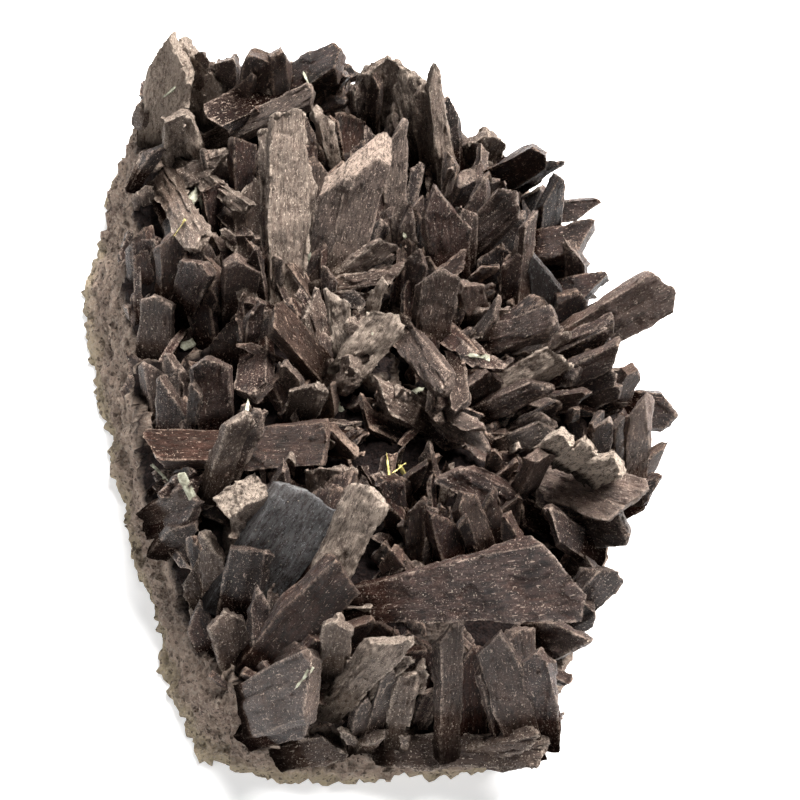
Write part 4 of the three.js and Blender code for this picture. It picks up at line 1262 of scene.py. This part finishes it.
# %% West nest
cluster(
    "west_nest", "brown_crystal",
    dict(root=(152, 512, 20), tip=(204, 486, 30), wide=3.7, thick=2.5, roll=10),
    dict(root=(158, 526, 18), tip=(206, 508, 28), wide=4, thick=2.5, roll=-20),
    dict(root=(170, 500, 18), tip=(182, 478, 29), wide=3.7, thick=2.2),
    dict(root=(164, 548, 16), tip=(192, 516, 26), wide=4.2, thick=2.5, roll=20),
    dict(root=(216, 486, 20), tip=(150, 486, 27), wide=5, thick=3.4, roll=14),
    dict(root=(212, 604, 16), tip=(214, 528, 31),
         wide=4.7, thick=3.4, roll=-10, finish="weathered"),
    dict(root=(262, 664, 16), tip=(256, 582, 30), wide=3.4, thick=2.5, roll=20, end=(0, 3, 3), cap=0.4),
    dict(root=(206, 602, 13), tip=(190, 546, 24),
         wide=5, thick=4.2, roll=-12, neck=1, finish="weathered"),
    dict(root=(238, 672, 12), tip=(222, 604, 25),
         wide=6, thick=3.4, roll=10, end=(0, 2, 2), finish="weathered"),
    dict(root=(262, 506, 18), tip=(198, 474, 27), wide=5, thick=3.4, roll=20, finish="maroon"),
    finish="speckled",
)

# %% [markdown]
# ## Rough pale blade
#
# A rough pale blade and a sheaf of small ones over the broad dark block of the front left.

# %% Rough pale blade
cluster(
    "rough_pale_blade", "pale_crystal",
    dict(root=(330, 708, 17), tip=(404, 626, 37), wide=5.6, thick=3.2, roll=8, pale=0.45),
    dict(root=(352, 700, 17), tip=(412, 648, 31), wide=3.6, thick=2.5, roll=-16, pale=0.3),
    dict(root=(370, 740, 10), tip=(394, 662, 28),
         wide=3.6, thick=2.5, roll=16, end=(0, 2, 2), finish="speckled"),
    dict(root=(392, 744, 10), tip=(413, 668, 28), wide=3.8, thick=2.2, roll=-12, end=(0.3, 1, 1.6)),
    dict(root=(398, 698, 18), tip=(436, 662, 28), wide=3.4, thick=2.2, roll=8, pale=0.3),
    dict(root=(354, 742, 10), tip=(366, 692, 22),
         wide=2.8, thick=2, roll=20, end=(0, 2, 2), finish="speckled"),
    dict(root=(334, 668, 24), tip=(340, 612, 37),
         wide=4.6, thick=2.9, roll=-10, end=(-0.1, 1.6, 1.2), pale=0.15),
    dict(root=(256, 706, 17), tip=(330, 680, 31),
         wide=10.7, thick=4.8, roll=-26, end=(-0.6, 1, 3), finish="speckled", root_shade=0.02, tone=0.7),
    dict(root=(256, 736, 10), tip=(324, 720, 22), wide=5, thick=3.4, roll=14, finish="speckled"),
    dict(root=(290, 752, 7), tip=(352, 738, 12), wide=6, thick=4.2, roll=10),
    dict(root=(402, 694, 13), tip=(374, 616, 26),
         wide=6, thick=3.4, roll=-12, end=(0.2, 1, 2), finish="maroon"),
    dict(root=(432, 704, 11), tip=(424, 620, 25),
         wide=7, thick=3.4, roll=10, finish="maroon"),
    dict(root=(292, 690, 15), tip=(330, 632, 27),
         wide=7, thick=3.4, roll=10, end=(0, 1, 2), finish="maroon"),
    finish="weathered",
)

# %% [markdown]
# ## South east kite
#
# A kite shaped end points to the lower right, over blocks that follow the rim.

# %% South east kite
cluster(
    "south_east_kite", "dark_crystal",
    dict(root=(534, 640, 20), tip=(598, 639, 31), wide=7.4, thick=3.2, roll=-8, end=(0.05, 4.4, 5.4)),
    dict(root=(545, 672, 13), tip=(569, 672, 19), wide=4.2, thick=2.9, roll=20),
    dict(root=(590, 550, 20), tip=(539, 514, 31), wide=5, thick=2.9, roll=14),
    dict(root=(574, 610, 16), tip=(614, 560, 24), wide=6, thick=4.2, roll=16, end=(0.2, 1.6, 1)),
    dict(root=(560, 620, 15), tip=(600, 600, 22), wide=6.7, thick=4.2, roll=10, end=(0.2, 1, 2)),
    dict(root=(560, 566, 13), tip=(612, 590, 19), wide=5.6, thick=4.2, roll=-8, end=(0, 1, 2)),
    finish="speckled",
)

# %% [markdown]
# ## South shelf
#
# The front edge: a shelf along the rim, with upright dark plates standing on it.

# %% South shelf
cluster(
    "south_shelf", "brown_crystal",
    dict(root=(392, 750, 8), tip=(552, 748, 12),
         wide=5.7, thick=5.1, roll=-14, end=(0, 0.4, 0.8), finish="weathered", root_shade=0.05, friends=0),
    dict(root=(455, 752, 8), tip=(548, 735, 18),
         wide=3.7, thick=3.4, roll=20, finish="weathered", friends=0),
    dict(root=(447, 744, 14), tip=(448, 616, 32), wide=4.2, thick=2.7, roll=16),
    dict(root=(524, 748, 12), tip=(489, 626, 33),
         wide=6.7, thick=2.7, roll=-12, neck=0.9, end=(0.4, 3, 6)),
    dict(root=(500, 742, 12), tip=(480, 652, 29), wide=2.7, thick=2.2, roll=14),
    dict(root=(522, 700, 15), tip=(515, 622, 29), wide=5.5, thick=2.9, roll=24, end=(-0.3, 1.4, 1)),
    dict(root=(546, 736, 12), tip=(538, 644, 31), wide=5.2, thick=3.4, roll=-24, end=(0, 2, 2)),
    dict(root=(530, 706, 12), tip=(569, 716, 17), wide=8.2, thick=3.4, roll=10, end=(0.1, 3, 3)),
    dict(root=(470, 740, 10), tip=(464, 640, 24),
         wide=6, thick=3.4, roll=12, finish="maroon"),
    finish="speckled",
)

# %% [markdown]
# ## East shelf
#
# Bars that stick out at the upper right, with white paper between them.

# %% East shelf
cluster(
    "east_shelf", "dark_crystal",
    dict(root=(526, 250, 19), tip=(601, 240, 29), wide=6.8, thick=4.2, roll=-20, end=(-0.7, 0.3, 2.0)),
    dict(root=(538, 264, 15), tip=(595, 264, 23), wide=4.5, thick=3.4, roll=10, end=(0, 1, 1.6)),
    dict(root=(538, 300, 17), tip=(617, 286, 27), wide=6.2, thick=4.2, roll=-15),
    dict(root=(542, 212, 13), tip=(607, 207, 18), wide=4.5, thick=3.4, roll=5),
    dict(root=(556, 336, 15), tip=(578, 284, 26), wide=6.4, thick=3.4, roll=14, end=(0, 1, 2)),
    dict(root=(483, 186, 20), tip=(555, 152, 34), wide=6.2, thick=4.2, roll=15, end=(-0.1, 1, 1.4)),
    dict(root=(518, 176, 22), tip=(563, 168, 33), wide=4, thick=3.4, roll=-20),
    dict(root=(548, 238, 17), tip=(549, 170, 32), wide=4.7, thick=3.9, roll=10),
    dict(root=(516, 222, 13), tip=(532, 176, 25), wide=7, thick=4.2, roll=-10),
    finish="maroon",
)

# %% [markdown]
# ## East rim
#
# Stout crystals that round off the right rim.

# %% East rim
cluster(
    "east_rim", "dark_crystal",
    dict(root=(612, 404, 17), tip=(643, 361, 30), wide=4.5, thick=3.4, roll=20, end=(-0.3, 1, 2)),
    dict(root=(632, 408, 11), tip=(688, 414, 17), wide=7.4, thick=5.4, end=(0.1, 2.4, 2)),
    dict(root=(640, 476, 12), tip=(662, 436, 20), wide=4.2, thick=3.4, roll=20),
    dict(root=(598, 446, 12), tip=(618, 400, 23), wide=7, thick=4.2, roll=-10),
    dict(root=(632, 500, 13), tip=(672, 479, 19), wide=5.5, thick=3.7, roll=-15),
    finish="maroon",
)

# %% [markdown]
# ## Far block
#
# A pale block behind the fan, at the back rim.

# %% Far block
cluster(
    "far_block", "brown_crystal",
    dict(root=(470, 178, 12), tip=(482, 124, 26),
         wide=8.6, thick=4.6, roll=10, neck=1.1, end=(0.3, 2, 1)),
    dict(root=(452, 170, 13), tip=(458, 118, 26),
         wide=4, thick=4.2, roll=-10, neck=1.1, end=(-0.5, 1, 1.5)),
    finish="weathered",
)

# %% [markdown]
# ## The rock
#
# The slab under the crystals is a coarse, crumbling rock that broke along the sides and was left
# flat underneath. Its outline comes from the imported solid: a copy is scaled up to millimetres on
# the bench, remeshed into an even skin and displaced by four kinds of noise, from knobs over
# upright fibres and lumps to grit. Its finish follows the same scale: soft brown lumps, fibres
# along the broken sides, a paler foot, and grains, with painted shade on its upper side between
# the crystals.

# %% Rock finish
ROCK_BUMP = 0.0009


def height_over_table(tree, vector):
    node = tree.nodes.new("ShaderNodeSeparateXYZ")
    plug(tree, node.inputs["Vector"], vector)
    return node.outputs["Z"]


def rock_colour(tree, grain, grit):
    """Brown lumps with upright fibres, a pale foot, and pale and dark grains."""
    lumps = between(tree, clouds(tree, grain, 0.13, 6.0, 0.65), 0.34, 0.64)
    base = mixed(tree, lumps, (0.15, 0.105, 0.081, 1), (0.41, 0.315, 0.245, 1))
    upright = stretched(tree, grain, (1, 1, 0.2))
    fibre = between(tree, clouds(tree, upright, 2.2, 9.0, 0.8), 0.42, 0.60)
    base = mixed(tree, share_of(tree, fibre, 0.45), base, (0.34, 0.25, 0.21, 1))
    foot = between(tree, height_over_table(tree, grain), 5.0, 1.0)
    base = mixed(tree, share_of(tree, foot, 0.85), base, (0.58, 0.48, 0.32, 1))
    base = mixed(tree, between(tree, grit, 0.50, 0.66), base, (0.54, 0.44, 0.35, 1))
    base = mixed(tree, between(tree, grit, 0.44, 0.30), base, (0.036, 0.024, 0.021, 1))
    pebble = between(tree, cells(tree, grain, 2.4, "Color"), 0.1, 0.9)
    pale_pebble = share_of(tree, between(tree, pebble, 0.72, 0.86), 0.6)
    dark_pebble = share_of(tree, between(tree, pebble, 0.22, 0.10), 0.7)
    base = mixed(tree, pale_pebble, base, (0.40, 0.34, 0.28, 1))
    return mixed(tree, dark_pebble, base, (0.03, 0.019, 0.017, 1))


def rock_finish():
    finish, tree, shader = new_finish("crumbling_rock")
    grain = reading(tree, "grain", "Vector")
    grit = clouds(tree, grain, 1.8, 10.0, 0.82)
    # Painted shade: near black on the rock's upper side between the crystals, mottled by a faint painted
    # sparkle.
    sparkle = between(tree, grit, 0.46, 0.62)
    crevice_shade = mixed(tree, sparkle, (0.004, 0.002, 0.0018, 1), (0.022, 0.012, 0.010, 1))
    base = mixed(tree, reading(tree, "crevice_shade"), rock_colour(tree, grain, grit), crevice_shade)
    plug(tree, shader.inputs["Base Color"], base)
    shader.inputs["Roughness"].default_value = 0.86
    shader.inputs["Specular IOR Level"].default_value = 0.15
    grains = share_of(tree, cells(tree, grain, 2.4), 0.4)
    height = sums(tree, "ADD", share_of(tree, grit, 0.8), grains)
    plug(tree, shader.inputs["Normal"], bumped(tree, height, 1.0, ROCK_BUMP))
    return finish


ROCK = rock_finish()
print("rock finish:", ROCK.name)

# %% [markdown]
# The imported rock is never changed: a copy of it is scaled up to millimetres, merged, and covered
# with an even skin. The vertices at the bottom are pulled down before the noise moves them, so
# that the cut at table height afterwards leaves one flat face to rest on.

# %% Rock skin
ROCK_NET = 0.75
ROCK_RELIEFS = {
    "knobs": (relief("rock_knobs", "CLOUDS", 5.0, noise_depth=2), 3.0, 0.2, 1),
    "fibres": (relief("rock_fibres", "CLOUDS", 0.8, noise_depth=4), 1.9, 0.5, 5),
    "lumps": (relief("rock_lumps", "VORONOI", 2.2, color_mode="INTENSITY"), -1.2, 0.5, 1.6),
    "grit": (relief("rock_grit", "CLOUDS", 0.8, noise_depth=3), 1.3, 0.5, 1),
}
BELOW_TABLE = 3.0
# Height in mm above which the upper side of the rock gets painted shade.
CREVICE_SHADE_ABOVE = 6.0


def bench_copy(solid, name):
    """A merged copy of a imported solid, in millimetres."""
    piece = bpy.data.objects.new(name, solid.data.copy())
    bpy.context.collection.objects.link(piece)
    piece.data.materials.clear()
    resize(piece, 1 / MM)
    bpy.ops.object.mode_set(mode="EDIT")
    bpy.ops.mesh.select_all(action="SELECT")
    bpy.ops.mesh.remove_doubles(threshold=0.001)
    bpy.ops.object.mode_set(mode="OBJECT")
    return piece


def resize(piece, factor):
    piece.scale = (factor,) * 3
    only(piece)
    bpy.ops.object.transform_apply(location=False, rotation=False, scale=True)


def paint_crevice_shade(rock):
    """Paints shade on the upper side of the rock between the crystals, on faces that look up above a
    height.
    """
    spots = corners_of(rock)
    _, facing = sharpness_of(rock)
    upward = np.clip((facing[:, 2] - 0.5) / 0.3, 0, 1)
    store(rock, "crevice_shade", upward * (spots[:, 2] > CREVICE_SHADE_ABOVE))


def crumble(rock):
    """Pulls the bottom down, displaces the skin and cuts it flat at table height."""
    bpy.ops.object.mode_set(mode="EDIT")
    pull(rock, lambda spot: spot.z < 0.5 * ROCK_NET, (0, 0, -BELOW_TABLE))
    bpy.ops.object.mode_set(mode="OBJECT")
    guide.location = (0, 0, 0)
    for kind, (texture, strength, mid_level, stretch) in ROCK_RELIEFS.items():
        guide.scale = (1, 1, stretch)
        bpy.context.view_layer.update()
        apply_modifier(rock, "DISPLACE", kind, texture=texture, texture_coords="OBJECT",
                       texture_coords_object=guide, strength=strength, mid_level=mid_level)
    bpy.ops.object.mode_set(mode="EDIT")
    cut((0, 0, 0), (0, 0, -1))
    bpy.ops.object.mode_set(mode="OBJECT")


def dress_rock():
    rock = bench_copy(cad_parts["matrix"], "rock_slab")
    apply_modifier(rock, "REMESH", "skin", mode="VOXEL", voxel_size=ROCK_NET)
    paint_crevice_shade(rock)
    crumble(rock)
    store(rock, "grain", corners_of(rock), "FLOAT_VECTOR", "vector")
    resize(rock, MM)
    bpy.ops.object.shade_smooth_by_angle(angle=math.radians(50))
    rock.data.materials.append(ROCK)
    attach(rock, "root")
    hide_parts("matrix")
    return rock


rock = dress_rock()
print("rock faces:", len(rock.data.polygons))

# %% [markdown]
# ## Small crystals between the big ones
#
# The dark gaps of the real specimen are not empty: short crystals and splinters stand in them at
# every angle. They are cut like the big ones, in smaller sizes and with a coarser net, round the
# roots of the big crystals. A seeded draw places them, so each run gives the same specimen.

# %% Filler splinters
SPLINTERS = 360
SPLINTER_SPREAD = 4.0


def splinters():
    chance = random.Random("splinters")
    blades = []
    for number in range(SPLINTERS):
        root, tip = chance.choice(ROOTS)
        along = (tip - root).normalized()
        across = chance.gauss(0, SPLINTER_SPREAD)
        deep = chance.gauss(0, SPLINTER_SPREAD)
        aside = Vector((across, deep, -chance.uniform(0, 3)))
        foot = root + aside + along * chance.uniform(0, 3)
        lean_out = Vector((chance.gauss(0, 0.45), chance.gauss(0, 0.45), chance.gauss(0, 0.3)))
        wide = chance.uniform(1.6, 4.0)
        reach = min(chance.uniform(5, 12), 0.8 * (tip - root).length)
        end = foot + (along + lean_out).normalized() * reach
        if not has_room(foot, end):
            continue
        flat = wide * chance.uniform(0.4, 0.7)
        turn = chance.uniform(-80, 80)
        skin = chance.choice(("maroon", "maroon", "speckled", "weathered"))
        blades.append(cut_crystal(f"splinter_{number + 1}", foot, end, wide, flat,
                                  roll=turn, finish=skin, cell=FILLER_CELL))
    return join_up("splinters", blades, "dark_crystal")


small = splinters()
print("splinter faces:", len(small.data.polygons))

# %% [markdown]
# ## Flakes
#
# A few thin greenish and yellow flakes of another mineral lie on the crystals. A line of sight
# from the camera through their pixel finds the face they rest on, and each is a small ragged
# plate laid flat on it.

# %% Flakes
FLAKE_THICK = 0.45
FLAKE_CELL = 0.3
FLAKES = {
    "greenish": [(165, 95, 1.6), (305, 73, 1.2), (198, 192, 3.4), (310, 255, 1.8), (406, 237, 2.6),
                 (189, 342, 3.6), (340, 409, 2.8), (421, 390, 1.6), (472, 356, 2.8), (248, 404, 1.8),
                 (190, 495, 2.8), (165, 478, 1.4), (300, 684, 1.8), (372, 332, 1.4)],
    "yellow": [(175, 234, 0.8), (387, 457, 1.4), (399, 465, 1.6), (392, 472, 1.2)],
}


def flake_finish(name, dark, light):
    finish, tree, shader = new_finish(name)
    grain = reading(tree, "grain", "Vector")
    tone = between(tree, clouds(tree, grain, 1.1, 6.0, 0.7), 0.40, 0.60)
    plug(tree, shader.inputs["Base Color"], mixed(tree, tone, dark, light))
    shader.inputs["Roughness"].default_value = 0.7
    plug(tree, shader.inputs["Normal"], bumped(tree, tone, 0.6, 0.0002))
    return finish


FINISHES["greenish"] = flake_finish("greenish_flake", (0.20, 0.19, 0.135, 1), (0.50, 0.50, 0.38, 1))
FINISHES["yellow"] = flake_finish("yellow_flake", (0.30, 0.24, 0.06, 1), (0.72, 0.62, 0.24, 1))
DEPTHS["greenish"] = DEPTHS["yellow"] = dict(bow=0.3, bites=-1.0)


def lay_flakes(kind):
    """Plates of one kind on the faces that show at their pixels."""
    chance = random.Random(kind)
    graph = bpy.context.evaluated_depsgraph_get()
    blades = []
    for number, (column, row, size) in enumerate(FLAKES[kind]):
        sight = (seen(column, row, 0) - EYE).normalized()
        hit, spot, facing, *_ = bpy.context.scene.ray_cast(graph, EYE * MM, sight)
        if not hit:
            continue
        if facing.dot(sight) > 0:
            facing.negate()
        heading = Vector((chance.uniform(-1, 1), chance.uniform(-1, 1), 0.3))
        half = facing.cross(heading).normalized() * size / 2
        middle = spot / MM + facing * 0.4 * FLAKE_THICK
        slim = size * chance.uniform(0.3, 0.5)
        blades.append(cut_crystal(f"{kind}_flake_{number + 1}", middle - half, middle + half,
                                  slim, FLAKE_THICK, neck=1, end=(0, 0.5, 0.5),
                                  finish=kind, cell=FLAKE_CELL))
    return join_up(f"{kind}_flakes", blades, "pale_crystal")


for kind in FLAKES:
    print(kind, "flakes, faces:", len(lay_flakes(kind).data.polygons))

# %% [markdown]
# ## Tidying up
#
# The empty that placed the relief textures is removed.

# %% Remove the relief guide
bpy.data.objects.remove(guide)
